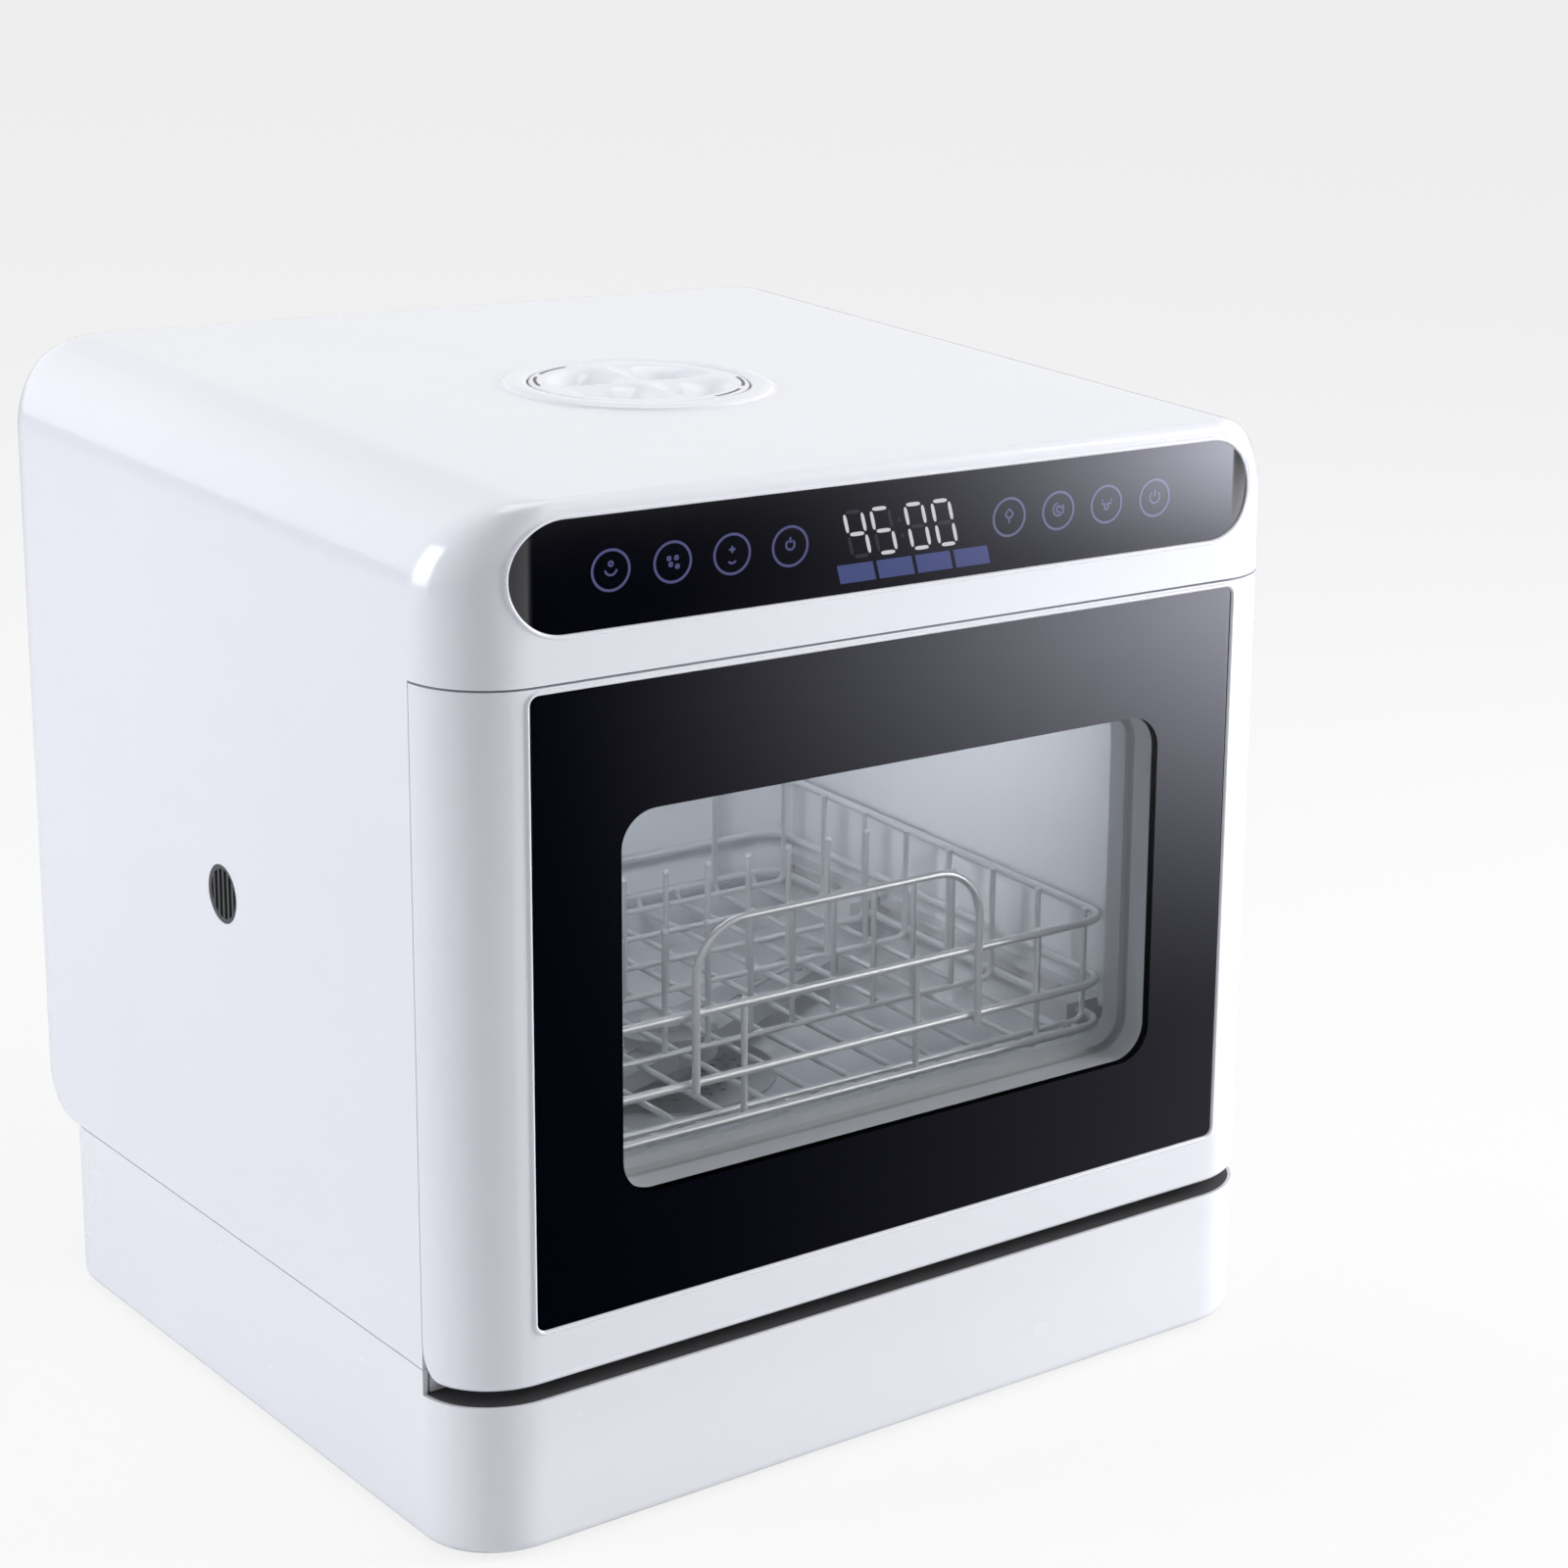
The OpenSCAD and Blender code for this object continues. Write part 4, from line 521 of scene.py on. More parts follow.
def grid_part(points, keep=None, wrap=False):
    """Points (rows, columns, 3) and the quads between them; keep masks the quads."""
    rows, cols = points.shape[:2]
    i, j = np.meshgrid(np.arange(rows - 1), np.arange(cols if wrap else cols - 1), indexing="ij")
    k = (j + 1) % cols
    quads = np.stack([i * cols + j, i * cols + k, (i + 1) * cols + k, (i + 1) * cols + j], axis=-1)
    quads = quads[keep] if keep is not None else quads.reshape(-1, 4)
    return points.reshape(-1, 3), quads


def piece_from(name, parts, material, body, wall=0.0, bevel=0.0, stands_for=(), merge=2e-6):
    """Joins grid parts into one smooth object whose faces point outwards, gives it a wall and
    rounded cut edges, and lets it ride on its body."""
    starts = np.cumsum([0] + [len(p) for p, _ in parts])
    points = np.vstack([p for p, _ in parts])
    quads = np.vstack([q + start for (_, q), start in zip(parts, starts)])
    mesh = bpy.data.meshes.new(name)
    mesh.from_pydata(points.tolist(), [], quads.tolist())
    work = bmesh.new()
    work.from_mesh(mesh)
    bmesh.ops.remove_doubles(work, verts=work.verts, dist=merge)
    bmesh.ops.recalc_face_normals(work, faces=work.faces)
    work.to_mesh(mesh)
    work.free()
    mesh.polygons.foreach_set("use_smooth", [True] * len(mesh.polygons))
    mesh.materials.append(material)
    obj = link(bpy.data.objects.new(name, mesh))
    if wall:
        solid = obj.modifiers.new("wall", "SOLIDIFY")
        solid.thickness, solid.offset, solid.use_even_offset = wall, -1.0, False
    if bevel:
        soft = obj.modifiers.new("soft_edges", "BEVEL")
        soft.width, soft.segments = bevel, 2
        soft.limit_method, soft.angle_limit = "ANGLE", SOFT_ANGLE
    if wall or bevel:
        obj.modifiers.new("flat_faces", "WEIGHTED_NORMAL").keep_sharp = True
    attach(obj, body)
    if stands_for:
        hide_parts(*stands_for)
    return obj


def border(points, r0, r1, c0, c1):
    """The closed loop round a block of a grid, starting at its lower left and going right."""
    return np.vstack([points[r0, c0:c1], points[r0:r1, c1], points[r1, c1:c0:-1], points[r1:r0:-1, c0]])


def side_run(n, straight, radius, arc_n):
    """Distances along half an arc, a straight and half an arc, in n steps, closer on the arcs."""
    half = radius * np.pi / 4
    if straight < 1e-6:
        return np.linspace(0, 2 * half, n + 1)[:-1]
    ends = np.linspace(0, half, arc_n + 1)
    middle = np.linspace(half, half + straight, n - 2 * arc_n + 1)
    return np.concatenate([ends[:-1], middle, half + straight + ends[1:-1]])


def outline(u0, u1, v0, v1, radius, nu, nv, grow=0.0, arc_n=5):
    """A closed outline of a round-cornered rectangle, grown by some offset, with nu steps along its
    lower and upper side and nv along the others; it starts in the middle of the lower left corner."""
    u0, u1, v0, v1, r = u0 - grow, u1 + grow, v0 - grow, v1 + grow, radius + grow
    loops = []
    corners = [(u0 + r, v0 + r), (u1 - r, v0 + r), (u1 - r, v1 - r), (u0 + r, v1 - r)]
    for k, n in enumerate([nu, nv, nu, nv]):
        length = (u1 - u0 if k % 2 == 0 else v1 - v0) - 2 * r
        s = side_run(n, length, r, arc_n)
        half = r * np.pi / 4
        start, stop = corners[k], corners[(k + 1) % 4]
        base = np.pi * 1.25 + k * np.pi / 2
        a1 = base + np.clip(s, 0, half) / max(r, 1e-9)
        a2 = base + np.pi / 4 + np.clip(s - half - length, 0, half) / max(r, 1e-9)
        on_straight = np.clip((s - half) / max(length, 1e-9), 0, 1)
        cx = start[0] + (stop[0] - start[0]) * on_straight
        cy = start[1] + (stop[1] - start[1]) * on_straight
        angle = np.where(s <= half, a1, a2)
        loops.append(np.column_stack([cx + r * np.cos(angle), cy + r * np.sin(angle)]))
    return np.vstack(loops)


def opening_strips(outer, inner_at, bead, height, depth, project, fill=7):
    """Loops from the outer border to an opening's edge and on down its wall. The skin first runs
    straight from loop to loop, then swells into a fine bead of half-sine profile round the edge."""
    first = inner_at(bead)
    v = np.linspace(0, 1, fill)[:, None, None]
    flat = outer[None] * (1 - v) + first[None] * v
    offsets = bead * (1 - np.linspace(0, 1, 8)[1:])
    beads = np.stack([inner_at(o) for o in offsets])
    uv = np.concatenate([flat, beads])
    lift = np.concatenate([np.zeros(fill), height * np.sin(np.pi * np.clip(offsets / bead, 0, 1)) ** 0.8])
    lifted = project(uv, lift[:, None])
    edge = inner_at(0.0)[None]
    walls = np.concatenate([project(edge, -np.array([[d]])) for d in (0.0006, depth * 0.5, depth)])
    return np.concatenate([lifted, walls])


def onto_front(form):
    """A function that lays (x, z) points on the front skin of a form, raised by some height."""
    return lambda uv, up: np.dstack([uv[..., 0], front_y(form, uv[..., 0], uv[..., 1]) - up, uv[..., 1]])


def between(line, other, shares):
    """Rows of points that lead from one line to another, at the given shares of the way."""
    v = np.asarray(shares, float)[:, None, None]
    return line[None] * (1 - v) + other[None] * v


def at_depth(line, y):
    """The same line of points, all moved to depth y."""
    return np.column_stack([line[:, 0], np.full(len(line), y), line[:, 2]])


def row_at(heights, z):
    """The row of a grid that lies at height z."""
    return int(np.searchsorted(heights, z - 1e-7))


print("helpers ready")

# %% [markdown]
# ## The outer shell
# One moulding makes the sides, the top and the header with its window for the control glass. Below
# the header the front slice is missing, because there the door closes the body. The side grille
# and the filler each need a round hole, and the rear cover fills the back.

# %% Build the outer shell
SEAM_T = 1.0 - math.asin((SEAM_Y - (FRONT + FRONT_R)) / -FRONT_R) / (math.pi / 2)
VENT_Y, VENT_Z, VENT_R, VENT_BLOCK = -0.006, 0.239, 0.0131, 0.03
FLAT_HW, REAR_HW, SIDE_Y0, SIDE_Y1 = HALF_W - FRONT_R, HALF_W - REAR_R, FRONT + FRONT_R, REAR - REAR_R
COVER_HW, COVER_TOP, PANEL_BLOCK_Z = 0.1765, 0.416, 0.4415
FORK_X, FORK_HW, FILLER_GAP = 0.164, 0.008, 0.0045
fork_edges = [side * FORK_X + reach for side in (-1, 1) for reach in (-FORK_HW, FORK_HW)]
flat_x = np.unique(np.concatenate([np.linspace(-FLAT_HW, FLAT_HW, 29), fork_edges]))
vent_block = VENT_Y + np.linspace(-VENT_BLOCK, VENT_BLOCK, 9)
side_y = np.unique(np.concatenate([np.linspace(SIDE_Y0, SIDE_Y1, 22), vent_block]))
arc_t = np.unique(np.concatenate([np.linspace(0, 1, 17), [SEAM_T]]))
rear_x = np.unique(np.concatenate([np.linspace(-REAR_HW, REAR_HW, 25), [-COVER_HW, COVER_HW]]))
front_t = (flat_x + FLAT_HW) / (2 * FLAT_HW)
side_t = (side_y - SIDE_Y0) / (SIDE_Y1 - SIDE_Y0)
rear_t = (rear_x + REAR_HW) / (2 * REAR_HW)
turn_t = np.linspace(0, 1, 13)
runs = [front_t, arc_t, side_t, turn_t, rear_t, turn_t, (1 - side_t)[::-1], (1 - arc_t)[::-1]]
kinds = np.concatenate([np.full(len(run) - 1, k) for k, run in enumerate(runs)])
ts = np.concatenate([run[:-1] for run in runs])
z_rows = np.unique(np.round(np.concatenate([
    SHELL_Z0 + HEEL_R * (1 - np.sin(np.linspace(np.pi / 2, 0, 9))),
    np.linspace(SHELL_Z0 + HEEL_R, HEADER_Z0, 16),
    VENT_Z + np.linspace(-VENT_BLOCK, VENT_BLOCK, 9),
    np.linspace(HEADER_Z0, TOP - LONG_R, 9),
    TOP - LONG_R + LONG_R * np.sin(np.linspace(0, np.pi / 2, 22)), [PANEL_BLOCK_Z, COVER_TOP]]), 7))
skin = level_grid(body_form, z_rows, kinds, ts)
n_col = len(ts)
mid_z = (z_rows[:-1] + z_rows[1:]) / 2
header_row, panel_row = row_at(z_rows, HEADER_Z0), row_at(z_rows, PANEL_BLOCK_Z)


def column_at(kind, t):
    """The column of that stretch whose t is nearest."""
    mine = np.flatnonzero(kinds == kind)
    return int(mine[np.argmin(np.abs(ts[mine] - t))])


seam_right, seam_left = column_at(1, SEAM_T), column_at(7, 1 - SEAM_T)
cut_right, cut_left = column_at(1, 0.5), column_at(7, 0.5)
order = np.roll(np.arange(n_col), n_col - cut_left)
rolled = skin[:, order]
place = {int(c): i for i, c in enumerate(order)}
columns = np.arange(n_col)
keep = np.ones((len(z_rows) - 1, n_col), bool)
front_cols = (columns >= seam_left) | (columns < seam_right)
keep[np.ix_(mid_z < HEADER_Z0, front_cols)] = False
panel_cols = (columns >= cut_left) | (columns < cut_right)
keep[np.ix_((mid_z > HEADER_Z0) & (mid_z < PANEL_BLOCK_Z), panel_cols)] = False
cover_t = (COVER_HW + REAR_HW) / (2 * REAR_HW)
cover_cols = (columns >= column_at(4, 1 - cover_t)) & (columns < column_at(4, cover_t))
keep[np.ix_(mid_z < COVER_TOP, cover_cols)] = False
vent_ends = [1 - (y - SIDE_Y0) / (SIDE_Y1 - SIDE_Y0) for y in (VENT_Y + VENT_BLOCK, VENT_Y - VENT_BLOCK)]
vent_c0, vent_c1 = (column_at(6, t) for t in vent_ends)
vent_r0, vent_r1 = row_at(z_rows, VENT_Z - VENT_BLOCK), row_at(z_rows, VENT_Z + VENT_BLOCK)
keep[vent_r0:vent_r1, vent_c0:vent_c1] = False
parts = [grid_part(skin, keep, wrap=True)]

# the window for the control glass
block = border(rolled, header_row, panel_row, place[cut_left], place[cut_right])
nu, nv = place[cut_right] - place[cut_left], panel_row - header_row
panel_r = (PANEL_Z1 - PANEL_Z0) / 2 - 1e-5
strips = opening_strips(
    block[:, [0, 2]], lambda o: outline(-PANEL_HW, PANEL_HW, PANEL_Z0, PANEL_Z1, panel_r, nu, nv, o, 9),
    bead=0.0020, height=0.0007, depth=0.003, project=onto_front(body_form))
strips[0] = block
parts.append(grid_part(strips, wrap=True))


# the hole for the side grille, in the plane of (-y, z)
def vent_edge(grow):
    """The outline of the hole, grown by some offset."""
    return outline(-VENT_Y - VENT_R, -VENT_Y + VENT_R, VENT_Z - VENT_R, VENT_Z + VENT_R,
                   VENT_R - 1e-5, vent_c1 - vent_c0, vent_r1 - vent_r0, grow)


block = border(skin, vent_r0, vent_r1, vent_c0, vent_c1)
strips = opening_strips(
    np.column_stack([-block[:, 1], block[:, 2]]), vent_edge, bead=0.0006, height=0.0, depth=0.002,
    project=lambda uv, up: np.dstack([-HALF_W - up + 0 * uv[..., 0], -uv[..., 0], uv[..., 1]]))
strips[0] = block
parts.append(grid_part(strips, wrap=True))

# the flat top, from its border to the filler's hole, and the underside of the header
lid = skin[-1]
filler = np.array([CAP_X, CAP_Y])
toward = lid[:, :2] - filler
toward /= np.linalg.norm(toward, axis=1)[:, None]
hole = np.column_stack([filler + toward * (CAP_R + FILLER_GAP), np.full(n_col, TOP)])
parts.append(grid_part(between(lid, hole, np.linspace(0, 1, 9)), wrap=True))
rim = np.vstack([skin[header_row, seam_left:], skin[header_row, : seam_right + 1]])
parts.append(grid_part(np.stack([rim, at_depth(rim, SEAM_Y)])))
shell = piece_from(
    "shell_skin", parts, white_gloss, "machine", SKIN_WALL, SOFT_EDGE, ("outer_shell",))
print("shell faces:", len(shell.data.polygons), "rows:", len(z_rows), "columns:", n_col)

# %% [markdown]
# ## The door's moulding
# The door is the front slice of the same block, so it uses the same sections, cut off where the
# seam runs. Its lower edge is rolled in, and behind that the wall turns round the hinge line, so
# the edge stays clear of the base while the door drops. A fine bead frames the glass. The underside
# is left open at the two hinge brackets; with the door fully open the wall still touches them.

# %% Build the door's moulding
HINGE_Y, HINGE_Z, HINGE_R = -0.189, 0.0918, 0.0164
PLAIN_Z0, LAST_STEP, BLOCK_X, UNDER_H, DOOR_WALL = 0.095, 0.0004, 0.1852, 0.003, 0.0026
door_z = np.unique(np.round(np.concatenate([
    DOOR_Z0 + EDGE_R * (1 - np.sin(np.linspace(np.pi / 2, 0, 7))),
    DOOR_Z0 + HINGE_R * (1 - np.cos(np.linspace(0, np.pi / 2, 10))),
    np.linspace(PLAIN_Z0, DOOR_Z1 - LAST_STEP, 20), [DOOR_Z1]]), 7))
door_kinds = np.concatenate([np.full(len(arc_t), 7), np.full(len(flat_x) - 2, 0), np.full(len(arc_t), 1)])
door_t = np.concatenate([(1 - arc_t)[::-1], front_t[1:-1], arc_t])
back_at = HINGE_Y + np.sqrt(np.maximum(HINGE_R**2 - np.clip(HINGE_Z - door_z, 0, HINGE_R) ** 2, 0))
_, low_front, _, low_r, _ = door_form(door_z)
end_angle = np.arcsin(np.clip((back_at - (low_front + low_r)) / low_r, -1, 1))
door_skin = level_grid(door_form, door_z, door_kinds, door_t, end_angle)
c_left = int(np.argmin(np.abs(door_skin[-1, : len(arc_t), 0] + BLOCK_X)))
c_right = door_skin.shape[1] - 1 - c_left
r_low = row_at(door_z, DOOR_Z0 + EDGE_R)
r_top = len(door_z) - 2
keep = np.ones((len(door_z) - 1, door_skin.shape[1] - 1), bool)
keep[r_low:r_top, c_left:c_right] = False
parts = [grid_part(door_skin, keep)]
block = border(door_skin, r_low, r_top, c_left, c_right)
nu, nv = c_right - c_left, r_top - r_low
strips = opening_strips(
    block[:, [0, 2]], lambda o: outline(-GLASS_HW, GLASS_HW, GLASS_Z0, GLASS_Z1, GLASS_R, nu, nv, o, 4),
    bead=0.0020, height=0.0009, depth=0.0044, project=onto_front(door_form))
strips[0] = block
parts.append(grid_part(strips, wrap=True))
top_rim, low_rim = door_skin[-1], door_skin[0]
parts.append(grid_part(np.stack([top_rim, at_depth(top_rim, DOOR_BACK)])))
low_wall = between(low_rim, at_depth(low_rim, HINGE_Y), (0.0, 0.346, 1.0))
fork = np.abs(np.abs((low_rim[:-1, 0] + low_rim[1:, 0]) / 2) - FORK_X) < FORK_HW
keep = np.ones((2, len(low_rim) - 1), bool)
keep[1, fork] = False
parts.append(grid_part(low_wall, keep))
ends = door_skin[door_z <= DOOR_Z0 + UNDER_H][:, [0, -1]]
frac = (low_rim[:, 0] - low_rim[0, 0]) / (low_rim[-1, 0] - low_rim[0, 0])
under = ends[:, :1] * (1 - frac[None, :, None]) + ends[:, 1:] * frac[None, :, None]
keep = np.ones((under.shape[0] - 1, under.shape[1] - 1), bool)
keep[:, fork] = False
parts.append(grid_part(under, keep))
door_moulding = piece_from(
    "door_moulding", parts, white_gloss, "door", DOOR_WALL, SOFT_EDGE, ("door_frame",))
print("door faces:", len(door_moulding.data.polygons))

# %% [markdown]
# ## The base
# The base is a shallow tray under the door and the shell. Its front is lower than its sides, and
# that step is the only thing that shows where the door ends.

# %% Build the base
LEDGE_BACK, FOOT_SHARE = -0.166, 0.02
base_z = np.unique(np.round(np.concatenate([
    BASE_Z0 + FOOT_R * (1 - np.sin(np.linspace(np.pi / 2, 0, 7))),
    np.linspace(BASE_Z0 + FOOT_R, BASE_FRONT, 5), [BASE_TOP]]), 7))
base_skin = level_grid(base_form, base_z, kinds, ts)
step_row = row_at(base_z, BASE_FRONT)
keep = np.ones((len(base_z) - 1, n_col), bool)
keep[step_row:, front_cols] = False
parts = [grid_part(base_skin, keep, wrap=True)]
rim = np.vstack([base_skin[step_row, seam_left:], base_skin[step_row, : seam_right + 1]])
parts.append(grid_part(np.stack([rim, at_depth(rim, LEDGE_BACK)])))
foot_rim = base_skin[0]
foot_end = foot_rim * np.array([FOOT_SHARE, FOOT_SHARE, 1.0])
parts.append(grid_part(between(foot_rim, foot_end, np.linspace(0, 1, 4)), wrap=True))
base = piece_from(
    "base_moulding", parts, base_gloss, "machine", SKIN_WALL, SOFT_EDGE, ("base_tray",))
print("base faces:", len(base.data.polygons))

# %% [markdown]
# ## The dark strip under the door
# A soft black strip lies on the ledge of the base. It is painted shade: it stands for the shadow in
# # the gap under the door, so the gap reads as one dark line that follows the round corners. It is
# # the ledge's own outline, drawn in by a few millimetres.

# %% Lay the painted shade strip on the ledge
SET_IN, STRIP_FRONT, STRIP_BACK, LIFT = 0.0016, -0.1725, -0.1675, 0.0004
ledge = rim
inward = np.column_stack([np.gradient(ledge[:, 1]), -np.gradient(ledge[:, 0]), 0 * ledge[:, 0]])
inward /= -np.linalg.norm(inward, axis=1)[:, None]
edge_line = ledge + inward * SET_IN
edge_line[:, 1] = np.minimum(edge_line[:, 1], STRIP_FRONT)
up = np.array([0, 0, LIFT])
back_line = at_depth(edge_line, STRIP_BACK)
shade_strip_grid = np.stack([
    edge_line + up * 0.1, edge_line + inward * 0.0003 + up,
    edge_line * 0.5 + back_line * 0.5 + up, back_line + up])
# painted shade: the black strip stands for the shadow in the gap under the door
piece_from("sill_shade_strip", [grid_part(shade_strip_grid)], black_rubber, "machine")
print("strip from x", round(float(edge_line[:, 0].min()), 4), "to", round(float(edge_line[:, 0].max()), 4))

# %% [markdown]
# ## Filler cap and collar
# Water is poured in through the round cap on top. It sits in a low collar, and four finger hollows
# leave a grip in the form of an X. The cap is a height field in polar coordinates: the hollows are
# one smooth product of a wave round the axis and a bump along the radius, so nothing has to be cut.

# %% Build the cap and its collar
def turned(profile, n, at=(0.0, 0.0)):
    """A profile of (radius, z) carried round a vertical axis: rows along it, n columns round it."""
    a = np.linspace(0, 2 * np.pi, n, endpoint=False)
    r, z = profile[:, :1], profile[:, 1:]
    return np.dstack([at[0] + r * np.cos(a), at[1] + r * np.sin(a), z + 0 * a])


def smooth(x, low, high):
    """Runs smoothly from 0 at low to 1 at high."""
    t = np.clip((x - low) / (high - low), 0.0, 1.0)
    return t * t * (3 - 2 * t)


cap_low, cap_top = (float(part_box("filler_cap")[k][2]) for k in (0, 1))
CAP_EDGE, HOLLOW, GRIP_TURN = 0.0012, 0.0085, math.radians(40)
field_r = np.concatenate([np.linspace(0.0002, 0.043, 44), [0.045, CAP_R - CAP_EDGE]])
edge_a = np.linspace(0, np.pi / 2, 6)
cap_round = [CAP_R - CAP_EDGE + CAP_EDGE * np.sin(edge_a), cap_top - CAP_EDGE + CAP_EDGE * np.cos(edge_a)]
cap_profile = np.vstack([
    np.column_stack([field_r, np.full(len(field_r), cap_top)]), np.column_stack(cap_round)[1:],
    [[CAP_R, 0.4335], [CAP_R - 0.001, 0.4322], [0.0345, 0.4322]],
    [[0.0338, cap_low], [0.0302, cap_low], [0.0300, 0.4330]]])
cap_grid = turned(cap_profile, 216)
radius = np.hypot(cap_grid[..., 0], cap_grid[..., 1])
around = np.arctan2(cap_grid[..., 1], cap_grid[..., 0])
lobes = np.abs(np.cos(2 * (around - GRIP_TURN))) ** 1.6
bump = smooth(radius, 0.004, 0.022) * (1 - smooth(radius, 0.032, 0.0415))
cap_grid[..., 2] -= np.where(cap_grid[..., 2] > cap_top - 0.0001, HOLLOW * lobes * bump, 0)
cap_grid[..., :2] += filler
cap_parts = [grid_part(cap_grid, wrap=True)]
piece_from("filler_cap_form", cap_parts, white_gloss, "cap", stands_for=("filler_cap",))
COLLAR_H, COLLAR_WALL = 0.0021, 0.0012
collar_in = CAP_R + 0.0006
lip = np.linspace(0, np.pi, 13)
lip_r = (COLLAR_R + collar_in) / 2 + (COLLAR_R - collar_in) / 2 * np.cos(lip)
collar_profile = np.vstack([
    [[COLLAR_R + 0.0012, TOP + 0.00002], [COLLAR_R + 0.0003, TOP + 0.0001]],
    np.column_stack([lip_r, TOP + COLLAR_H * np.sin(lip) ** 0.7]),
    [[collar_in, 0.4318], [0.0356, 0.4316], [0.0354, 0.402]]])
collar_parts = [grid_part(turned(collar_profile, 144, (CAP_X, CAP_Y)), wrap=True)]
piece_from(
    "filler_collar_form", collar_parts, white_gloss, "machine", COLLAR_WALL,
    stands_for=("filler_collar",))
print("cap hollows reach", round(HOLLOW * 1000, 1), "mm down")

# %% [markdown]
# ## Marks
# The signs on the control glass and the four dashes on the cap are flat shapes a few hundredths of
# a millimetre proud of what they are printed on. Each is a strip along a path. The signs and the
# display glow a little, like printing that is lit from behind; the dashes don't. The display shows
# plain digits, and there is no lettering.

# %% Draw flat signs as strips
def strip(path, width):
    """A strip of the given width (one number, or one per point) along a path of (u, v) points."""
    path = np.asarray(path, float)
    ahead_uv = np.gradient(path, axis=0)
    ahead_uv /= np.linalg.norm(ahead_uv, axis=1)[:, None]
    half = (np.asarray(width) / 2 * np.ones(len(path)))[:, None]
    across = np.column_stack([-ahead_uv[:, 1], ahead_uv[:, 0]]) * half
    return np.stack([path - across, path + across])


def arc(u, v, r, start, stop, n=25):
    """Points on a circular arc, angles in degrees."""
    a = np.radians(np.linspace(start, stop, n))
    return np.column_stack([u + r * np.cos(a), v + r * np.sin(a)])


def sign_paint(name, color, glow, under=(0.001, 0.001, 0.004)):
    """Printing lit from behind: a dark glossy ground with a little light of its own."""
    mat = finish(name, under, under, GLASS_ROUGH, GLASS_SKIN, coat=1.0)
    tint = mat.node_tree.nodes.new("ShaderNodeGroup")
    tint.node_tree = tint_group
    tint.inputs["Color"].default_value = (*color, 1.0)
    tint.inputs["Color 2"].default_value = (*[c * 0.9 for c in color], 1.0)
    bsdf = mat.node_tree.nodes["Principled BSDF"]
    mat.node_tree.links.new(tint.outputs["Color"], bsdf.inputs["Emission Color"])
    bsdf.inputs["Emission Strength"].default_value = glow
    return mat


def printed(name, strips, material, y):
    """Flat strips of (x, z) laid on the front at depth y, as one piece of the control glass."""
    parts = [grid_part(np.dstack([s[..., 0], np.full(s.shape[:2], y), s[..., 1]])) for s in strips]
    piece_from(name, parts, material, "machine")


MM = 0.001
glass_y = float(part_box("control_glass")[0][1])
PROUD, BAR_PROUD, CAP_PROUD = 0.00008, 0.0001, 0.00005
RING_R, RING_W, LINE_W = 8.2, 1.1, 0.9
ICON_X, ICON_Z = np.array([-141.0, -113.4, -86.2, -58.9, 50.8, 77.0, 103.3, 130.2]), 415.3
GLYPHS = [
    [arc(0, 0.6, 2.6, 190, 350), arc(0, 2.6, 0.9, 90, 449, 13)],
    [arc(-1.7, 1.6, 0.7, 0, 359, 13), arc(1.7, 1.6, 0.7, 0, 359, 13),
     arc(-0.9, -0.9, 0.7, 0, 359, 13), arc(2.1, -2.0, 0.7, 0, 359, 13)],
    [[(0, 3.4), (0, 1.9), (0, 0.4)], [(-1.5, 1.9), (0, 1.9), (1.5, 1.9)], arc(0, -1.8, 2.0, 215, 325)],
    [arc(0, 0.6, 2.0, 120, 420), [(0, 3.8), (0, 2.6), (0, 1.4)]],
    [arc(0, 1.6, 1.9, 180, 360), [(-1.9, 1.6), (0, 3.6), (1.9, 1.6)], [(0, -0.3), (0, -1.5), (0, -2.7)]],
    [arc(0, 0.6, 2.8, 100, 400), arc(0.3, 0.6, 1.3, 0, 300)],
    [[(-2.4, 2.4), (-2.4, 0.2), (2.4, 0.2), (2.4, 2.4)], arc(0, -1.2, 1.1, 0, 359, 15)],
    [arc(0, 0.3, 2.7, 125, 415), [(0, 3.9), (0, 2.2), (0, 0.8)]]]
for side_name, first, color in (("left", 0, (0.34, 0.34, 0.80)), ("right", 4, (0.42, 0.46, 0.86))):
    strips_here = []
    for k in range(first, first + 4):
        at = np.array([ICON_X[k], ICON_Z])
        strips_here.append(strip(arc(*at, RING_R, 0, 360, 61), RING_W) * MM)
        strips_here += [strip(np.asarray(g) + at, LINE_W) * MM for g in GLYPHS[k]]
    paint = sign_paint("sign_print_" + side_name, color, 0.28)
    printed("signs_" + side_name, strips_here, paint, glass_y - PROUD)
A, B, BAR, DIGIT_Z, LEAN = 3.4, 4.8, 0.9, 416.8, 0.25
BAR_WIDTHS = [0.9, 1.6, 1.7, 1.7, 1.7, 1.6, 0.9]


def leaning(points):
    """Leans a sign backwards: each point moves left by a quarter of its height over the middle."""
    return points - LEAN * (points[..., 1:] - DIGIT_Z) * np.array([1.0, 0.0])


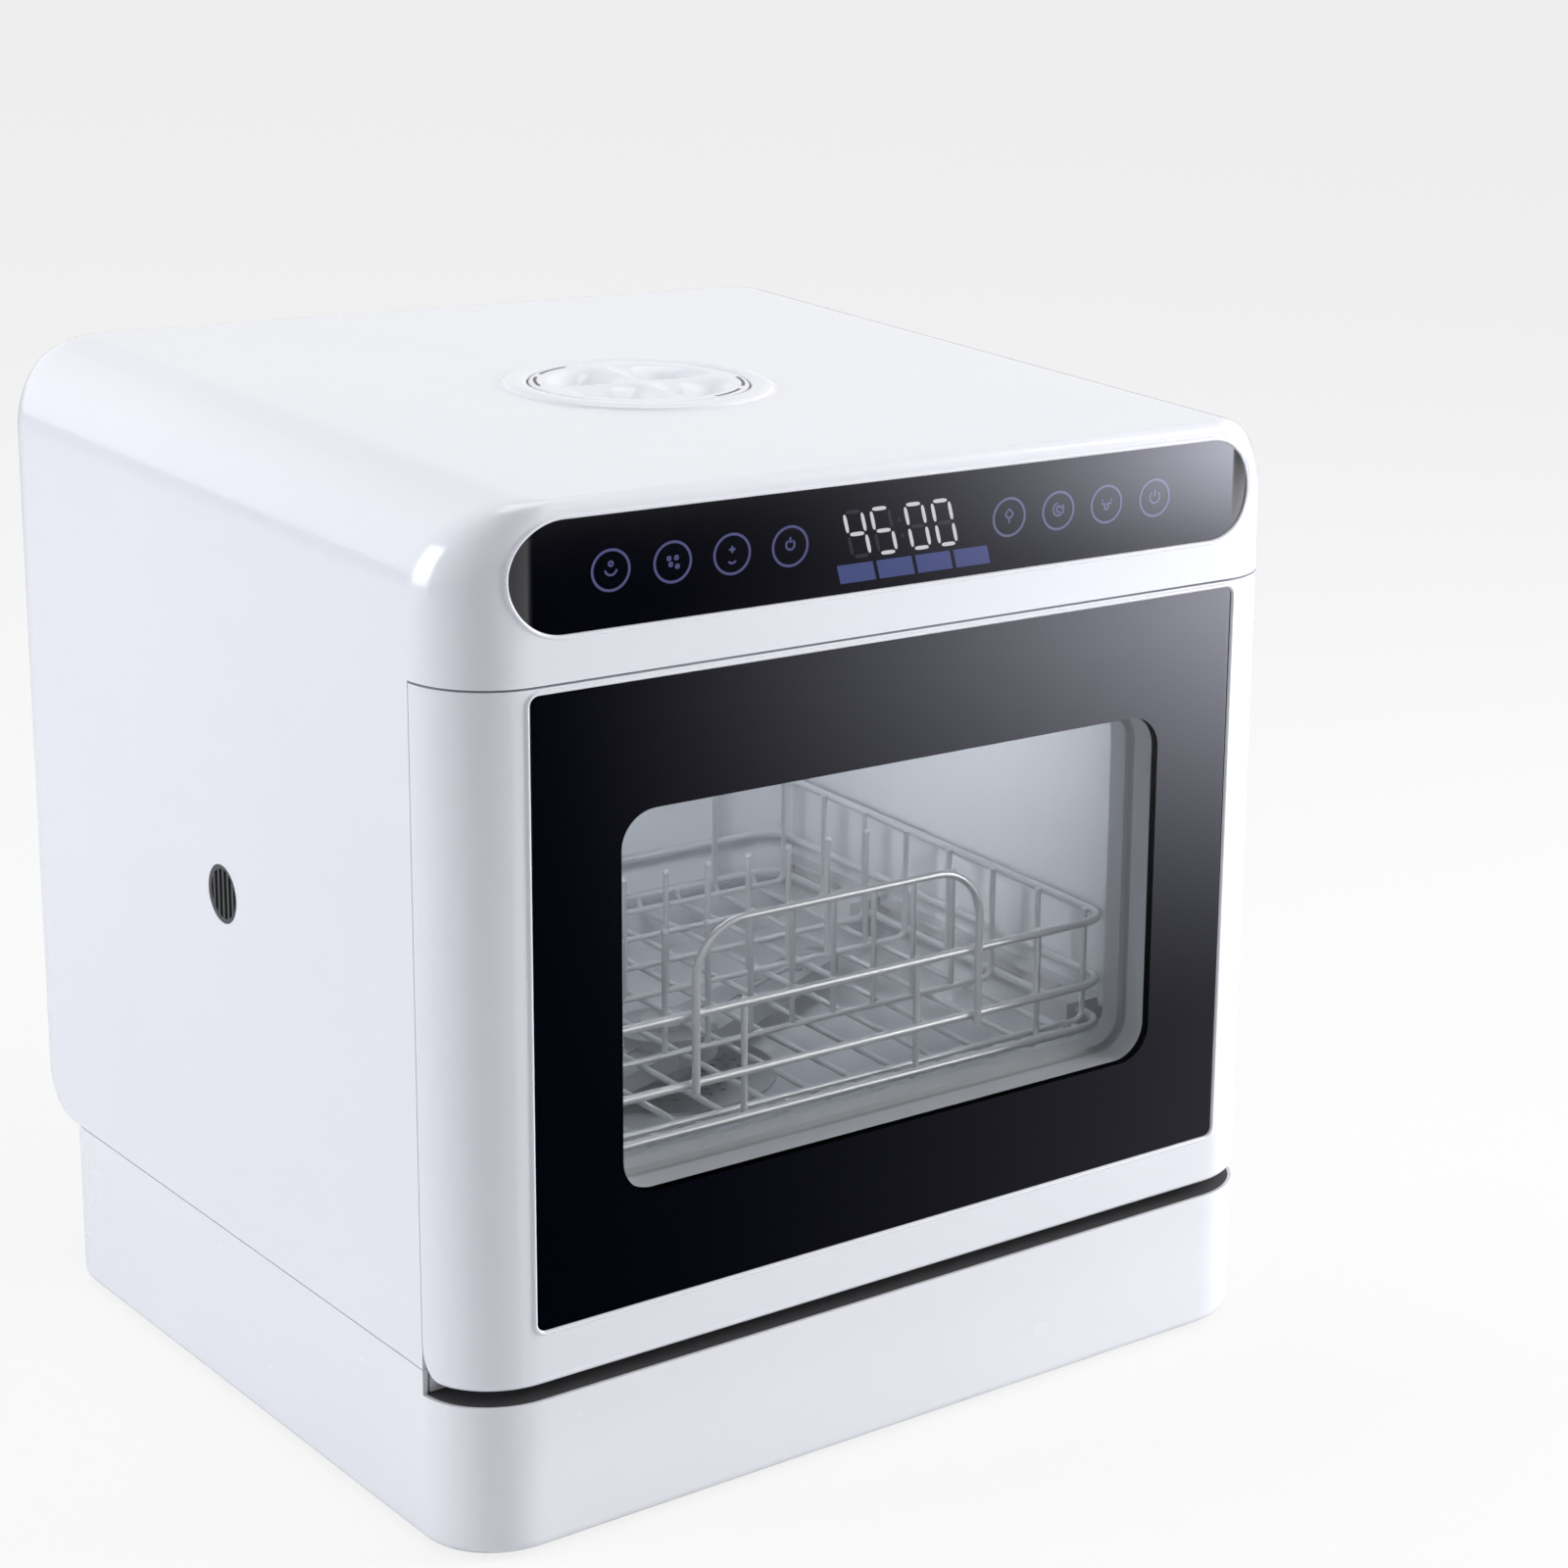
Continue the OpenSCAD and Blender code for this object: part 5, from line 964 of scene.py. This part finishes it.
SEGMENTS = {
    "a": [(-A, 2 * B), (A, 2 * B)], "b": [(A + BAR, B * 2 - BAR), (A + BAR, BAR)],
    "c": [(A + BAR, -BAR), (A + BAR, BAR - 2 * B)], "d": [(-A, -2 * B), (A, -2 * B)],
    "e": [(-A - BAR, -BAR), (-A - BAR, BAR - 2 * B)], "f": [(-A - BAR, 2 * B - BAR), (-A - BAR, BAR)],
    "g": [(-A, 0), (A, 0)]}
TILE_Z, TILE_H = 400.3, 8.0
lit, dim = [], []
for at_x, on in ((-26.6, "fgbc"), (-13.5, "afgcd"), (3.4, "abcdef"), (17.0, "abcdef")):
    for key, ends in SEGMENTS.items():
        t = np.linspace(0, 1, 7)[:, None]
        bar = np.array(ends[0]) * (1 - t) + np.array(ends[1]) * t + np.array([at_x, DIGIT_Z])
        (lit if key in on else dim).append(leaning(strip(bar, BAR_WIDTHS)) * MM)
dim += [leaning(strip(arc(-5.0, z, 0.45, 0, 360, 13), LINE_W)) * MM for z in (413.5, 420.5)]
tile_paths = [[(x, TILE_Z), (x + 9, TILE_Z), (x + 17.6, TILE_Z)] for x in (-39.6, -20.2, -0.8, 18.6)]
tiles = [leaning(strip(path, TILE_H)) * MM for path in tile_paths]
printed("lit_bars", lit, sign_paint("lit_bar_print", (0.95, 0.96, 1.0), 0.66), glass_y - BAR_PROUD)
printed("dim_bars", dim, sign_paint("dim_bar_print", (0.5, 0.5, 0.6), 0.05), glass_y - BAR_PROUD)
printed("touch_tiles", tiles, sign_paint("tile_print", (0.28, 0.36, 1.0), 0.21), glass_y - BAR_PROUD)
dashes = [strip(arc(CAP_X / MM, CAP_Y / MM, 45.2, a, a + 27), 1.5) * MM for a in (105, 141, 285, 321)]
dash_z = cap_top + CAP_PROUD
dash_parts = [grid_part(np.dstack([d[..., 0], d[..., 1], np.full(d.shape[:2], dash_z)])) for d in dashes]
mark_grey = finish("mark_grey", (0.08, 0.08, 0.09), None, (0.4, 0.5))
piece_from("cap_marks", dash_parts, mark_grey, "cap")
print("signs:", len(lit), "lit bars,", len(dim), "dim bars")
